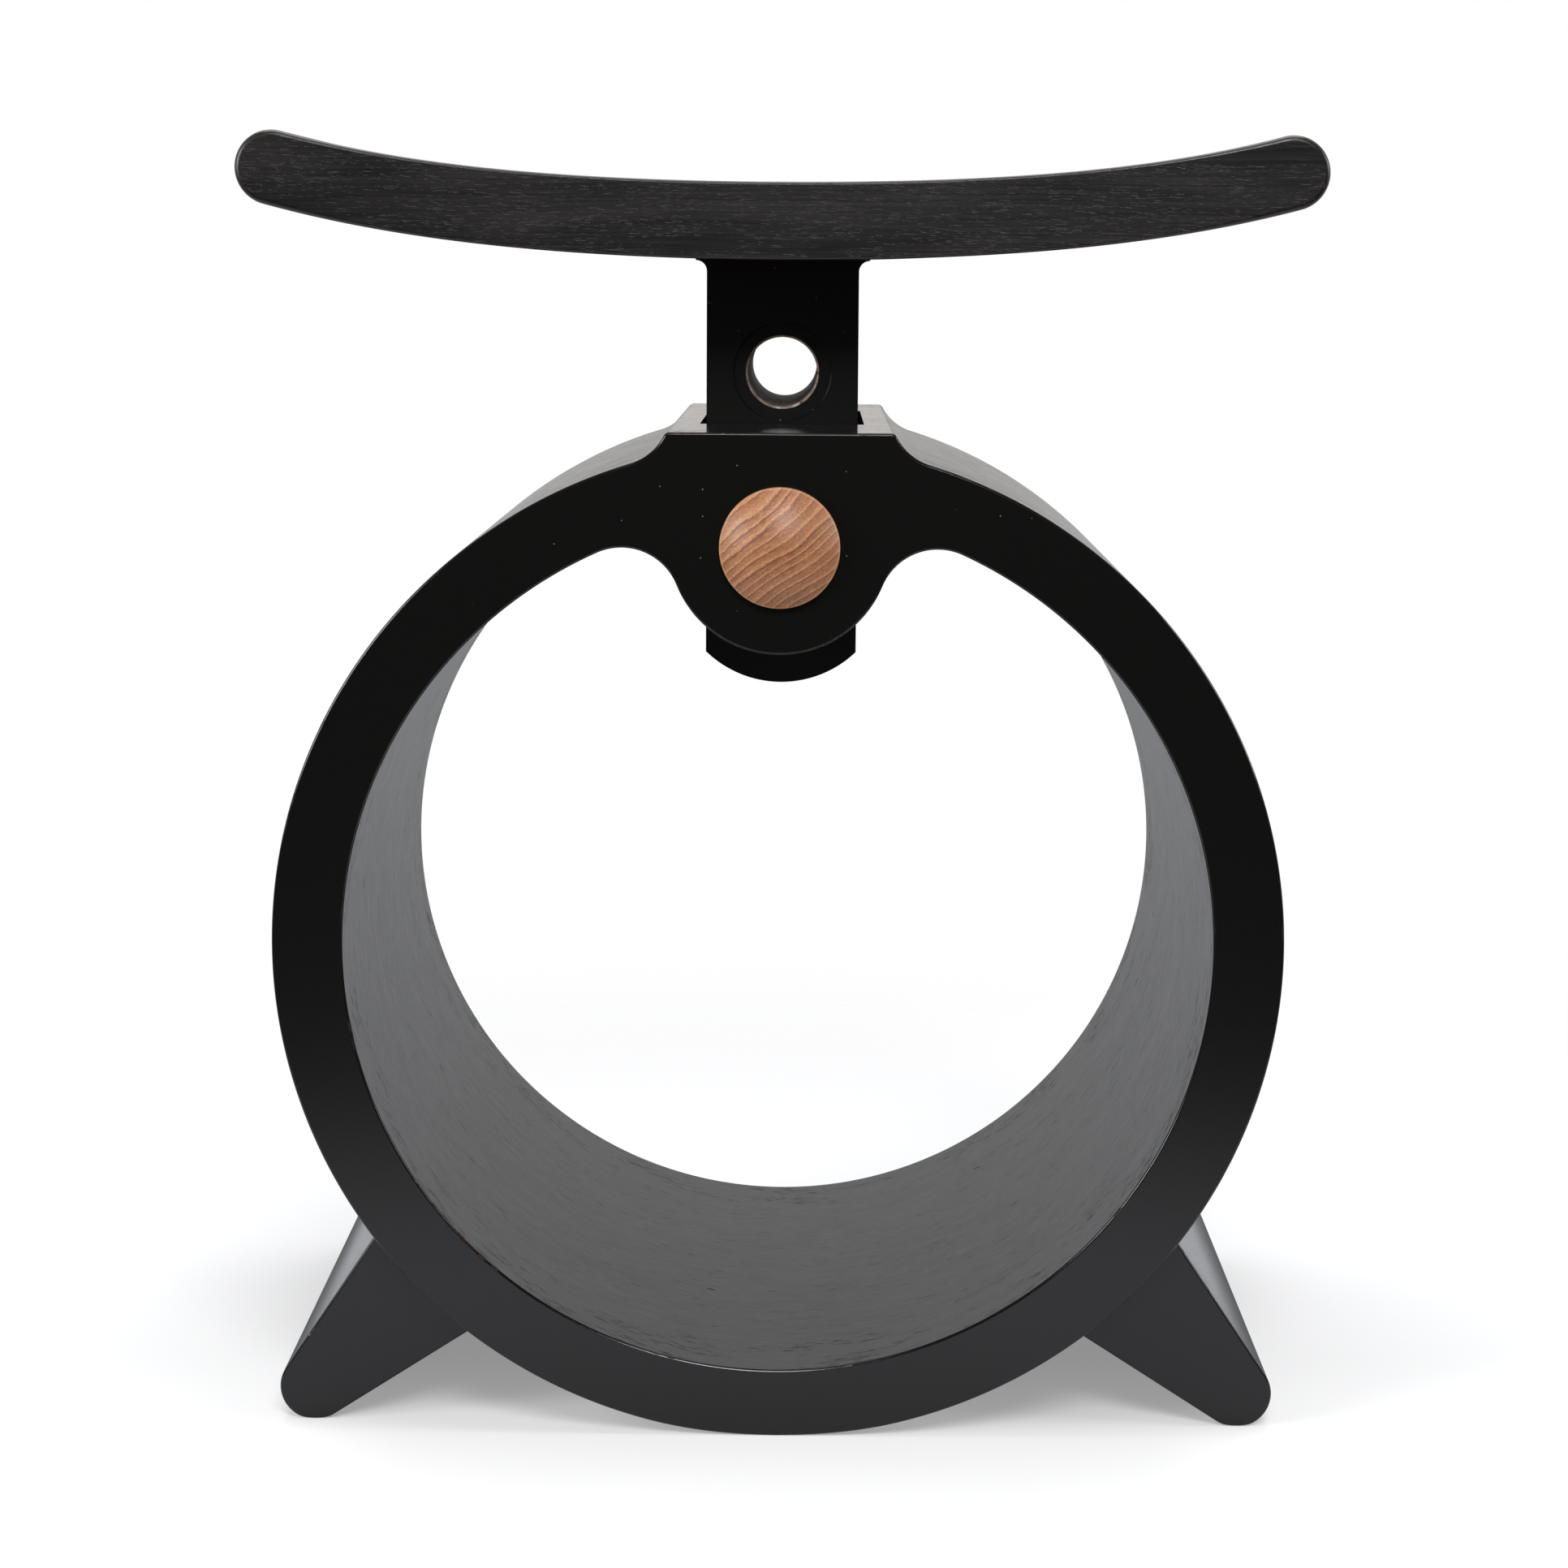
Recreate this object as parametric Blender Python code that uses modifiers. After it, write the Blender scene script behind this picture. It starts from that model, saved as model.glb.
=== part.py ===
"""Hoop stool in ebonised wood, with a seat that is set at one of two heights by a turned peg.

Metres, +Z up. The stool faces -Y, and the origin lies on the floor under the middle of the hoop.
Nearly every piece is a prism along Y, so the outlines below are drawn in the XZ plane.
"""

import math

import bmesh
import bpy
from mathutils import Matrix, Vector

# Most that a flat facet may stand off the true curve
CHORD_ERROR = 0.00006

# Room left for glue between pieces that touch, and at the blind end of a hole
GLUE_GAP = 0.0003
END_ROOM = 0.0006

# Hoop
HOOP_OUTER_RADIUS = 0.1845
HOOP_WALL = 0.0258
HOOP_DEPTH = 0.258
FLOOR_FLAT = 0.0005  # planed off the hoop and the foot tips where they stand

# Head
HEAD_STAND = 0.0032  # of its flat top above the crown of the hoop
HEAD_TOP_WIDTH = 0.082  # between the corners, before they are rounded
HEAD_CORNER_ROUND = 0.0025
HEAD_COVE_RADIUS = 0.020
LOBE_RADIUS = 0.0399
LOBE_RISE = 0.0013  # of its centre above the axis of the peg
LOBE_FILLET = 0.0213
HEAD_JOINT_RUN = 0.006  # plain curve on the head between its fillets and the hoop joint

# Loose tenons across the joints between head and hoop
TENON_THICKNESS = 0.009
TENON_WIDTH = 0.040
TENON_REACH = 0.017  # into each of the two pieces

# Peg
PEG_DROP = 0.0409  # of its axis below the top of the head
PEG_SHANK_DIAMETER = 0.0254
PEG_CLEARANCE = 0.0003
PEG_HEAD_DIAMETER = 0.0434
PEG_RIM = 0.0030
PEG_DOME = 0.0085
PEG_TIP_INSET = 0.004  # from the tip to the rear face
PEG_TIP_CHAMFER = 0.0025

# Post
POST_WIDTH = 0.0569
POST_THICKNESS = 0.118
POST_TOE_DROP = 0.0182  # below the lobe of the head, at the raised setting
POST_TOE_RADIUS = 0.0408
POST_FLARE_RADIUS = 0.0040
POST_FLARE_LIP = 0.0006
POST_TOP_STATIONS = 4  # from the middle to the flare, where the top follows the seat's underside
MORTISE_PLAY = 0.0024  # on each side of the post
SETTING_STEP = 0.0603  # between the two peg holes
HOLE_DISH_DIAMETER = 0.0370
HOLE_DISH_DEPTH = 0.0008

# Seat
SEAT_LENGTH = 0.3866
SEAT_DEPTH = 0.258
SEAT_MIDDLE_THICKNESS = 0.0273
SEAT_END_THICKNESS = 0.0263
SEAT_END_RISE = 0.0177  # of the middle line, from the middle to the round of the end
SEAT_ROUNDNESS = 0.64  # share of the rise that follows a plain bow; the rest turns up at the ends
SEAT_STATIONS = 28  # along the whole length
SEAT_REST_GAP = 0.0006  # over the head at the lowered setting
SEAT_EDGE_ROUND = 0.0020
SEAT_EDGE_SEGMENTS = 2

# Feet
FOOT_SLOPE = math.radians(44.7)  # below the horizontal
FOOT_TIP_RADIUS = 0.0129
FOOT_ROOT_WIDTH = 0.0520
FOOT_SETBACK = 0.015  # from the hoop's front and rear faces

# Dowels
FOOT_DOWEL_DIAMETER = 0.012
FOOT_DOWEL_IN_HOOP = 0.017
FOOT_DOWEL_IN_FOOT = 0.028
FOOT_DOWEL_INSET = 0.033  # from the foot's front and rear ends to the outer dowels
SEAT_DOWEL_DIAMETER = 0.012
SEAT_DOWEL_IN_SEAT = 0.016
SEAT_DOWEL_IN_POST = 0.022
SEAT_DOWEL_SIDE_INSET = 0.01445  # from the sides of the post
SEAT_DOWEL_FACE_INSET = 0.0185  # from the front and rear faces of the post
DOWEL_CHAMFER = 0.0010

# Eased edges of the black pieces
EDGE_EASE = 0.0008

# Finishes: colour, roughness
EBONISED = ("ebonised_wood", (0.013, 0.012, 0.011, 1.0), 0.34)
PEG_WOOD = ("oiled_peg_wood", (0.235, 0.112, 0.058, 1.0), 0.48)
DOWEL_WOOD = ("plain_dowel_wood", (0.480, 0.330, 0.190, 1.0), 0.60)

# Places that follow from the sizes above
HOOP_INNER_RADIUS = HOOP_OUTER_RADIUS - HOOP_WALL
HOOP_MID_RADIUS = HOOP_OUTER_RADIUS - HOOP_WALL / 2
HOOP_CENTRE = Vector((0, HOOP_OUTER_RADIUS - FLOOR_FLAT))
HEAD_TOP_RISE = HOOP_OUTER_RADIUS + HEAD_STAND  # above the hoop's centre, as the peg's rise is
PEG_RISE = HEAD_TOP_RISE - PEG_DROP
HEAD_TOP_Z = HOOP_CENTRE.y + HEAD_TOP_RISE
PEG_CENTRE = HOOP_CENTRE + Vector((0, PEG_RISE))
LOBE_CENTRE = PEG_CENTRE + Vector((0, LOBE_RISE))
BORE_RADIUS = PEG_SHANK_DIAMETER / 2 + PEG_CLEARANCE
UPPER_HOLE_CENTRE = PEG_CENTRE + Vector((0, SETTING_STEP))
MORTISE_HALF_WIDTH = POST_WIDTH / 2 + MORTISE_PLAY
MORTISE_LENGTH = POST_THICKNESS + 2 * MORTISE_PLAY
CHEEK_THICKNESS = (HOOP_DEPTH - MORTISE_LENGTH) / 2
FRONT_Y = -HOOP_DEPTH / 2
FOOT_DEPTH = HOOP_DEPTH - 2 * FOOT_SETBACK
SEAT_UNDERSIDE_Z = HEAD_TOP_Z + SETTING_STEP + SEAT_REST_GAP
SEAT_REACH = (SEAT_LENGTH - SEAT_END_THICKNESS) / 2  # out to the centre of the rounded end
FACING_FRONT = Matrix.Rotation(math.pi / 2, 4, "X")  # an outline's own Z then points at the viewer


def clear_scene():
    for thing in list(bpy.data.objects):
        bpy.data.objects.remove(thing)


def new_collection(name):
    collection = bpy.data.collections.new(name)
    bpy.context.scene.collection.children.link(collection)
    return collection


def finish(name, colour, roughness):
    material = bpy.data.materials.new(name)
    material.use_nodes = True
    shader = material.node_tree.nodes["Principled BSDF"]
    shader.inputs["Base Color"].default_value = colour
    shader.inputs["Roughness"].default_value = roughness
    shader.inputs["Metallic"].default_value = 0.0
    material.diffuse_color = colour
    return material


# Outlines


def bearing(angle):
    """Unit vector in the XZ plane at an angle from straight up, clockwise as the viewer sees it."""
    return Vector((math.sin(angle), math.cos(angle)))


def angle_of(vector):
    return math.atan2(vector.y, vector.x)


def facets(radius, sweep):
    """How many facets an arc needs to stay within the chord error."""
    step = 2 * math.acos(1 - CHORD_ERROR / radius)
    return max(2, math.ceil(abs(sweep) / step))


def arc(centre, radius, start, end):
    """Points of an arc, both ends included, with angles counted from +X."""
    count = facets(radius, end - start)
    angles = [start + (end - start) * i / count for i in range(count + 1)]
    return [centre + radius * Vector((math.cos(a), math.sin(a))) for a in angles]


def mirrored(points):
    return [Vector((-p.x, p.y)) for p in reversed(points)]


def opposite_angle(adjacent_a, adjacent_b, opposite):
    """Angle of a triangle between two sides, from its three sides."""
    cosine = (adjacent_a**2 + adjacent_b**2 - opposite**2) / (2 * adjacent_a * adjacent_b)
    return math.acos(cosine)


def planed(points):
    """The outline with everything below the floor planed off."""
    kept = []
    for here, after in zip(points, points[1:] + points[:1]):
        if here.y >= 0:
            kept.append(here)
        if (here.y < 0) != (after.y < 0):
            share = here.y / (here.y - after.y)
            kept.append(here.lerp(after, share))
    return kept


def cove_bearing():
    """Where the cove of the head runs out on the outside of the hoop."""
    corner = Vector((HEAD_TOP_WIDTH / 2, HEAD_TOP_RISE))
    reach = HOOP_OUTER_RADIUS + HEAD_COVE_RADIUS
    return math.atan2(corner.x, corner.y) + opposite_angle(corner.length, reach, HEAD_COVE_RADIUS)


def fillet_bearing():
    """Where the fillet of the lobe runs out on the inside of the hoop."""
    rise = LOBE_CENTRE.y - HOOP_CENTRE.y
    return opposite_angle(rise, HOOP_INNER_RADIUS - LOBE_FILLET, LOBE_RADIUS + LOBE_FILLET)


def joint_bearing():
    """The radial face between head and hoop, just past both run-outs."""
    return max(cove_bearing(), fillet_bearing()) + HEAD_JOINT_RUN / HOOP_INNER_RADIUS


def corner_centre(cove_centre):
    """Centre of the round between the flat top of the head and the cove."""
    z = HEAD_TOP_Z - HEAD_CORNER_ROUND
    reach = HEAD_COVE_RADIUS + HEAD_CORNER_ROUND
    return Vector((cove_centre.x - math.sqrt(reach**2 - (cove_centre.y - z) ** 2), z))


def head_half():
    """Right half of the head's outline, from the top corner round to the bottom of the lobe."""
    cove_at, fillet_at, joint_at = cove_bearing(), fillet_bearing(), joint_bearing()
    up = math.pi / 2
    cove_centre = HOOP_CENTRE + (HOOP_OUTER_RADIUS + HEAD_COVE_RADIUS) * bearing(cove_at)
    fillet_centre = HOOP_CENTRE + (HOOP_INNER_RADIUS - LOBE_FILLET) * bearing(fillet_at)
    round_centre = corner_centre(cove_centre)
    corner = arc(round_centre, HEAD_CORNER_ROUND, up, angle_of(cove_centre - round_centre))
    full_turn = 2 * math.pi
    cove = arc(
        cove_centre,
        HEAD_COVE_RADIUS,
        angle_of(round_centre - cove_centre) % full_turn,
        angle_of(HOOP_CENTRE - cove_centre) % full_turn,
    )
    shoulder = arc(HOOP_CENTRE, HOOP_OUTER_RADIUS, up - cove_at, up - joint_at)
    soffit = arc(HOOP_CENTRE, HOOP_INNER_RADIUS, up - joint_at, up - fillet_at)
    fillet = arc(fillet_centre, LOBE_FILLET, up - fillet_at, angle_of(LOBE_CENTRE - fillet_centre))
    lobe = arc(LOBE_CENTRE, LOBE_RADIUS, angle_of(fillet_centre - LOBE_CENTRE), -up)
    return corner + cove[1:] + shoulder[1:] + soffit[:-1] + fillet[:-1] + lobe


def head_outline():
    right = head_half()
    return right + mirrored(right)[1:]


def hoop_outline():
    """The bent ring, open at the top, standing on a narrow flat."""
    start = joint_bearing() + GLUE_GAP / HOOP_MID_RADIUS
    up = math.pi / 2
    outside = arc(HOOP_CENTRE, HOOP_OUTER_RADIUS, up - start, start - 3 * up)
    inside = arc(HOOP_CENTRE, HOOP_INNER_RADIUS, start - 3 * up, up - start)
    return planed(outside + inside)


def seat_point(x, offset):
    """A point of the seat's section: on its middle line at x, then off it by a distance upwards."""
    share = x / SEAT_REACH
    bow, turn_up = SEAT_ROUNDNESS, 1 - SEAT_ROUNDNESS
    rise = SEAT_END_RISE * (bow * share**2 + turn_up * share**4)
    slope = SEAT_END_RISE * (2 * bow * share + 4 * turn_up * share**3) / SEAT_REACH
    normal = Vector((-slope, 1)).normalized()
    middle_z = SEAT_UNDERSIDE_Z + SEAT_MIDDLE_THICKNESS / 2
    return Vector((x, middle_z + rise)) + offset * normal


def seat_half_thickness(x):
    share = x / SEAT_REACH
    fuller = (SEAT_MIDDLE_THICKNESS - SEAT_END_THICKNESS) * (1 - share**2) ** 2
    return (SEAT_END_THICKNESS + fuller) / 2


def seat_outline():
    stations = [SEAT_REACH * (2 * i / SEAT_STATIONS - 1) for i in range(SEAT_STATIONS + 1)]
    top = [seat_point(x, seat_half_thickness(x)) for x in stations]
    underside = [seat_point(x, -seat_half_thickness(x)) for x in stations]
    end_centre = seat_point(SEAT_REACH, 0)
    start = angle_of(top[-1] - end_centre)
    end = arc(end_centre, SEAT_END_THICKNESS / 2, start, start - math.pi)
    left_end = mirrored(end)
    return top[1:-1] + end + underside[-2:0:-1] + left_end


def post_outline():
    """The post from its rounded toe to the flare that meets the seat's underside."""
    half = POST_WIDTH / 2
    flare_reach = half + POST_FLARE_RADIUS
    stations = [flare_reach * i / POST_TOP_STATIONS for i in range(POST_TOP_STATIONS + 1)]
    top = [seat_point(x, -seat_half_thickness(x) - GLUE_GAP) for x in stations]
    flare_centre = Vector((flare_reach, top[-1].y - POST_FLARE_LIP - POST_FLARE_RADIUS))
    flare = arc(flare_centre, POST_FLARE_RADIUS, math.pi / 2, math.pi)
    toe_bottom = LOBE_CENTRE.y - LOBE_RADIUS - POST_TOE_DROP
    toe_centre = Vector((0, toe_bottom + POST_TOE_RADIUS))
    corner_angle = -math.acos(half / POST_TOE_RADIUS)
    toe = arc(toe_centre, POST_TOE_RADIUS, corner_angle, -math.pi / 2)
    right = top + flare + toe
    return right + mirrored(right)[1:-1]


def foot_axis():
    return Vector((math.cos(FOOT_SLOPE), -math.sin(FOOT_SLOPE)))


def foot_outline():
    """Right foot: a concave root on the hoop, two straight sides and a round tip planed for the floor."""
    axis = foot_axis()
    reach = (HOOP_CENTRE.y - FOOT_TIP_RADIUS + FLOOR_FLAT) / math.sin(FOOT_SLOPE)
    tip = HOOP_CENTRE + reach * axis
    root_radius = HOOP_OUTER_RADIUS + GLUE_GAP
    spread = math.asin(FOOT_ROOT_WIDTH / 2 / root_radius)
    root = arc(HOOP_CENTRE, root_radius, -FOOT_SLOPE + spread, -FOOT_SLOPE - spread)
    upper, lower = root[0] - tip, root[-1] - tip
    upper_touch = angle_of(upper) - math.acos(FOOT_TIP_RADIUS / upper.length)
    lower_touch = angle_of(lower) + math.acos(FOOT_TIP_RADIUS / lower.length)
    nose = arc(tip, FOOT_TIP_RADIUS, lower_touch, upper_touch + 2 * math.pi)
    return planed(root + nose)


def stadium_outline(width, thickness):
    """A bar's section with round ends, along its own X."""
    radius = thickness / 2
    centre = Vector((width / 2 - radius, 0))
    right = arc(centre, radius, -math.pi / 2, math.pi / 2)
    return right + [Vector((-p.x, -p.y)) for p in right]


# Solids


def smooth(mesh):
    mesh.shade_smooth()
    mesh.set_sharp_from_angle(angle=math.radians(30))


def extruded(name, outline, depth, collection, place=Matrix.Identity(4)):
    """A prism of an outline, centred on the outline's plane, then put in place."""
    curve = bpy.data.curves.new(name, "CURVE")
    curve.dimensions = "2D"
    curve.fill_mode = "BOTH"
    curve.extrude = depth / 2
    spline = curve.splines.new("POLY")
    spline.points.add(len(outline) - 1)
    spline.use_cyclic_u = True
    for point, corner in zip(spline.points, outline):
        point.co = (corner.x, corner.y, 0, 1)
    guide = bpy.data.objects.new(name + "_outline", curve)
    collection.objects.link(guide)
    graph = bpy.context.evaluated_depsgraph_get()
    mesh = bpy.data.meshes.new_from_object(guide.evaluated_get(graph))
    bpy.data.objects.remove(guide)
    mesh.name = name
    weld_caps(mesh)
    solid = bpy.data.objects.new(name, mesh)
    solid.matrix_world = place
    collection.objects.link(solid)
    return solid


def weld_caps(mesh):
    """Joins the caps to the walls and makes each cap one face."""
    shape = bmesh.new()
    shape.from_mesh(mesh)
    bmesh.ops.remove_doubles(shape, verts=shape.verts, dist=1e-6)
    bmesh.ops.dissolve_limit(
        shape, angle_limit=math.radians(0.05), verts=shape.verts, edges=shape.edges
    )
    bmesh.ops.recalc_face_normals(shape, faces=shape.faces)
    shape.to_mesh(mesh)
    shape.free()


def ease_rim(solid, width, segments, faces, is_hidden):
    """Rounds the edges round the front and rear faces, apart from those inside a glued joint.

    faces holds 1 for the face towards the viewer and -1 for the one behind.
    """
    shape = bmesh.new()
    shape.from_mesh(solid.data)
    weight = shape.edges.layers.float.new("bevel_weight_edge")
    for edge in shape.edges:
        caps = [face.normal.z for face in edge.link_faces if abs(face.normal.z) > 0.99]
        middle = (edge.verts[0].co + edge.verts[1].co) / 2
        if len(caps) == 1 and round(caps[0]) in faces and not is_hidden(middle.xy):
            edge[weight] = 1.0
    shape.to_mesh(solid.data)
    shape.free()
    bevel = solid.modifiers.new("eased_edges", "BEVEL")
    bevel.limit_method = "WEIGHT"
    bevel.width = width
    bevel.segments = segments


def in_hoop_joint(point):
    """Whether a rim edge lies on a radial face between head and hoop."""
    arm = point - HOOP_CENTRE
    across = abs(math.atan2(arm.x, arm.y)) - joint_bearing()
    inside_wall = HOOP_INNER_RADIUS + EDGE_EASE < arm.length < HOOP_OUTER_RADIUS - EDGE_EASE
    return inside_wall and abs(across) * arm.length < 2 * GLUE_GAP


def on_hoop_outside(point):
    return (point - HOOP_CENTRE).length < HOOP_OUTER_RADIUS + 2 * GLUE_GAP


def under_seat(point):
    return point.y > SEAT_UNDERSIDE_Z - POST_FLARE_RADIUS - POST_FLARE_LIP


def nowhere(point):
    return False


def along(direction, middle):
    """Puts a shape's own Z along a direction."""
    turn = Vector((0, 0, 1)).rotation_difference(direction)
    return Matrix.Translation(middle) @ turn.to_matrix().to_4x4()


def in_plan(point, y):
    """A point of an outline, at a depth."""
    return Vector((point.x, y, point.y))


def cylinder(name, radius, length, place, collection):
    bpy.ops.mesh.primitive_cylinder_add(
        vertices=facets(radius, 2 * math.pi), radius=radius, depth=length
    )
    shape = bpy.context.object
    shape.name = name
    shape.matrix_world = place
    for holder in list(shape.users_collection):
        holder.objects.unlink(shape)
    collection.objects.link(shape)
    return shape


def block(name, low, high, collection):
    bpy.ops.mesh.primitive_cube_add(size=1, location=(Vector(low) + Vector(high)) / 2)
    shape = bpy.context.object
    shape.name = name
    shape.scale = Vector(high) - Vector(low)
    for holder in list(shape.users_collection):
        holder.objects.unlink(shape)
    collection.objects.link(shape)
    return shape


def cutter(shape):
    shape.hide_render = True
    shape.display_type = "WIRE"
    return shape


def cut(solid, tool):
    modifier = solid.modifiers.new(tool.name, "BOOLEAN")
    modifier.operation = "DIFFERENCE"
    modifier.solver = "EXACT"
    modifier.object = tool


class Stool:
    """Holds the two collections and the finishes while the pieces are made."""

    def __init__(self):
        self.pieces = new_collection("hoop_stool")
        self.tools = new_collection("cutters")
        self.ebonised = finish(*EBONISED)
        self.peg_wood = finish(*PEG_WOOD)
        self.dowel_wood = finish(*DOWEL_WOOD)
        self.base = bpy.data.objects.new("stool_base", None)
        self.pieces.objects.link(self.base)

    def dress(self, solid, material):
        smooth(solid.data)
        solid.data.materials.clear()
        solid.data.materials.append(material)
        solid.parent = self.base

    def prism(self, name, outline, depth, y):
        place = Matrix.Translation((0, y, 0)) @ FACING_FRONT
        solid = extruded(name, outline, depth, self.pieces, place)
        self.dress(solid, self.ebonised)
        return solid

    def bore(self, name, point, radius, near_y, far_y):
        """A round cutter along Y."""
        middle = in_plan(point, (near_y + far_y) / 2)
        place = along(Vector((0, 1, 0)), middle)
        return cutter(cylinder(name, radius, far_y - near_y, place, self.tools))

    def make_hoop(self):
        hoop = self.prism("hoop", hoop_outline(), HOOP_DEPTH, 0)
        ease_rim(hoop, EDGE_EASE, 1, (1, -1), in_hoop_joint)
        return hoop

    def make_cheek(self, name, side):
        """A slab of the head; side is -1 in front and 1 behind."""
        y = side * (HOOP_DEPTH - CHEEK_THICKNESS) / 2
        cheek = self.prism(name, head_outline(), CHEEK_THICKNESS, y)
        ease_rim(cheek, EDGE_EASE, 1, (-side,), in_hoop_joint)
        reach = CHEEK_THICKNESS
        cut(cheek, self.bore(name + "_bore", PEG_CENTRE, BORE_RADIUS, y - reach, y + reach))
        return cheek

    def make_side_block(self, name, side):
        """The short block beside the mortise; side is -1 on the left and 1 on the right."""
        depth = MORTISE_LENGTH - 2 * GLUE_GAP
        solid = self.prism(name, head_outline(), depth, 0)
        far = side * 2 * HOOP_OUTER_RADIUS
        near = side * MORTISE_HALF_WIDTH
        low = (min(-far, near), -HOOP_DEPTH, 0)
        high = (max(-far, near), HOOP_DEPTH, 2 * HEAD_TOP_Z)
        cut(solid, cutter(block(name + "_trim", low, high, self.tools)))
        return solid

    def join_head(self, hoop, carrier, name, side, y):
        """A loose tenon across the joint between the hoop and one piece of the head."""
        toward_up = Vector((-side * math.cos(joint_bearing()), math.sin(joint_bearing())))
        spot = bearing(side * joint_bearing()) * HOOP_MID_RADIUS + HOOP_CENTRE
        across = in_plan(toward_up, 0)
        width_axis = Vector((0, 1, 0))
        turn = Matrix((width_axis, across.cross(width_axis), across)).transposed().to_4x4()
        place = Matrix.Translation(in_plan(spot, y)) @ turn
        length = 2 * TENON_REACH
        section = stadium_outline(TENON_WIDTH, TENON_THICKNESS)
        tenon = extruded(name, section, length, self.pieces, place)
        self.dress(tenon, self.dowel_wood)
        room = 2 * GLUE_GAP
        mortise_section = stadium_outline(TENON_WIDTH + room, TENON_THICKNESS + room)
        mortise_length = length + 2 * END_ROOM
        mortise = extruded(name + "_mortise", mortise_section, mortise_length, self.tools, place)
        cut(hoop, cutter(mortise))
        cut(carrier, mortise)

    def make_dowel(self, name, direction, start, length, diameter, holders):
        """A chamfered dowel and the hole for it in the pieces that it joins."""
        middle = start + direction * length / 2
        place = along(direction, middle)
        dowel = cylinder(name, diameter / 2, length, place, self.pieces)
        chamfer = dowel.modifiers.new("chamfered_ends", "BEVEL")
        chamfer.width = DOWEL_CHAMFER
        chamfer.segments = 1
        chamfer.limit_method = "ANGLE"
        chamfer.angle_limit = math.radians(60)
        self.dress(dowel, self.dowel_wood)
        hole_radius = diameter / 2 + GLUE_GAP
        hole = cylinder(name + "_hole", hole_radius, length + 2 * END_ROOM, place, self.tools)
        cutter(hole)
        for holder in holders:
            cut(holder, hole)

    def make_foot(self, side_name, side, hoop):
        outline = foot_outline() if side > 0 else mirrored(foot_outline())
        foot = self.prism(side_name + "_foot", outline, FOOT_DEPTH, 0)
        ease_rim(foot, EDGE_EASE, 1, (1, -1), on_hoop_outside)
        axis = foot_axis()
        axis.x *= side
        inner_end = HOOP_CENTRE + (HOOP_OUTER_RADIUS - FOOT_DOWEL_IN_HOOP) * axis
        length = FOOT_DOWEL_IN_HOOP + FOOT_DOWEL_IN_FOOT
        direction = in_plan(axis, 0)
        outer_y = FOOT_DEPTH / 2 - FOOT_DOWEL_INSET
        for place_name, y in (("front", -outer_y), ("middle", 0), ("rear", outer_y)):
            name = f"{side_name}_foot_dowel_{place_name}"
            start = in_plan(inner_end, y)
            self.make_dowel(name, direction, start, length, FOOT_DOWEL_DIAMETER, (hoop, foot))

    def make_post(self):
        post = self.prism("post", post_outline(), POST_THICKNESS, 0)
        ease_rim(post, EDGE_EASE, 1, (1, -1), under_seat)
        face = -POST_THICKNESS / 2
        past = POST_THICKNESS
        dish_radius = HOLE_DISH_DIAMETER / 2
        for name, centre in (("lower", PEG_CENTRE), ("upper", UPPER_HOLE_CENTRE)):
            cut(post, self.bore(f"post_{name}_hole", centre, BORE_RADIUS, -past, past))
            dish_floor = face + HOLE_DISH_DEPTH
            cut(post, self.bore(f"post_{name}_dish", centre, dish_radius, -past, dish_floor))
        return post

    def make_seat(self):
        seat = self.prism("seat_board", seat_outline(), SEAT_DEPTH, 0)
        ease_rim(seat, SEAT_EDGE_ROUND, SEAT_EDGE_SEGMENTS, (1, -1), nowhere)
        return seat

    def fix_seat(self, post, seat):
        up = Vector((0, 0, 1))
        length = SEAT_DOWEL_IN_POST + SEAT_DOWEL_IN_SEAT
        bottom = SEAT_UNDERSIDE_Z - SEAT_DOWEL_IN_POST
        off_x = POST_WIDTH / 2 - SEAT_DOWEL_SIDE_INSET
        off_y = POST_THICKNESS / 2 - SEAT_DOWEL_FACE_INSET
        for y_name, y in (("front", -off_y), ("rear", off_y)):
            for x_name, x in (("left", -off_x), ("right", off_x)):
                name = f"seat_dowel_{y_name}_{x_name}"
                start = Vector((x, y, bottom))
                self.make_dowel(name, up, start, length, SEAT_DOWEL_DIAMETER, (post, seat))

    def make_peg(self):
        """Turned about its own Z, which points out of the front of the head."""
        head = PEG_HEAD_DIAMETER / 2
        shank = PEG_SHANK_DIAMETER / 2
        tip = -(HOOP_DEPTH - PEG_TIP_INSET)
        dome_radius = (head**2 + PEG_DOME**2) / (2 * PEG_DOME)
        dome_centre = Vector((0, PEG_RIM + PEG_DOME - dome_radius))
        rim_angle = math.acos(head / dome_radius)
        profile = list(reversed(arc(dome_centre, dome_radius, rim_angle, math.pi / 2)))
        profile[0].x = 0
        profile += [Vector((head, GLUE_GAP)), Vector((shank, GLUE_GAP))]
        profile += [Vector((shank, tip + PEG_TIP_CHAMFER))]
        profile += [Vector((shank - PEG_TIP_CHAMFER, tip)), Vector((0, tip))]
        mesh = bpy.data.meshes.new("height_peg")
        edges = [(i, i + 1) for i in range(len(profile) - 1)]
        mesh.from_pydata([(p.x, 0, p.y) for p in profile], edges, [])
        peg = bpy.data.objects.new("height_peg", mesh)
        self.pieces.objects.link(peg)
        turning = peg.modifiers.new("turned", "SCREW")
        turning.steps = turning.render_steps = facets(head, 2 * math.pi)
        turning.use_merge_vertices = True
        turning.merge_threshold = 0.00001
        turning.use_smooth_shade = True
        peg.matrix_world = along(Vector((0, -1, 0)), in_plan(PEG_CENTRE, FRONT_Y))
        mesh.materials.append(self.peg_wood)
        peg.parent = self.base
        return peg


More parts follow.
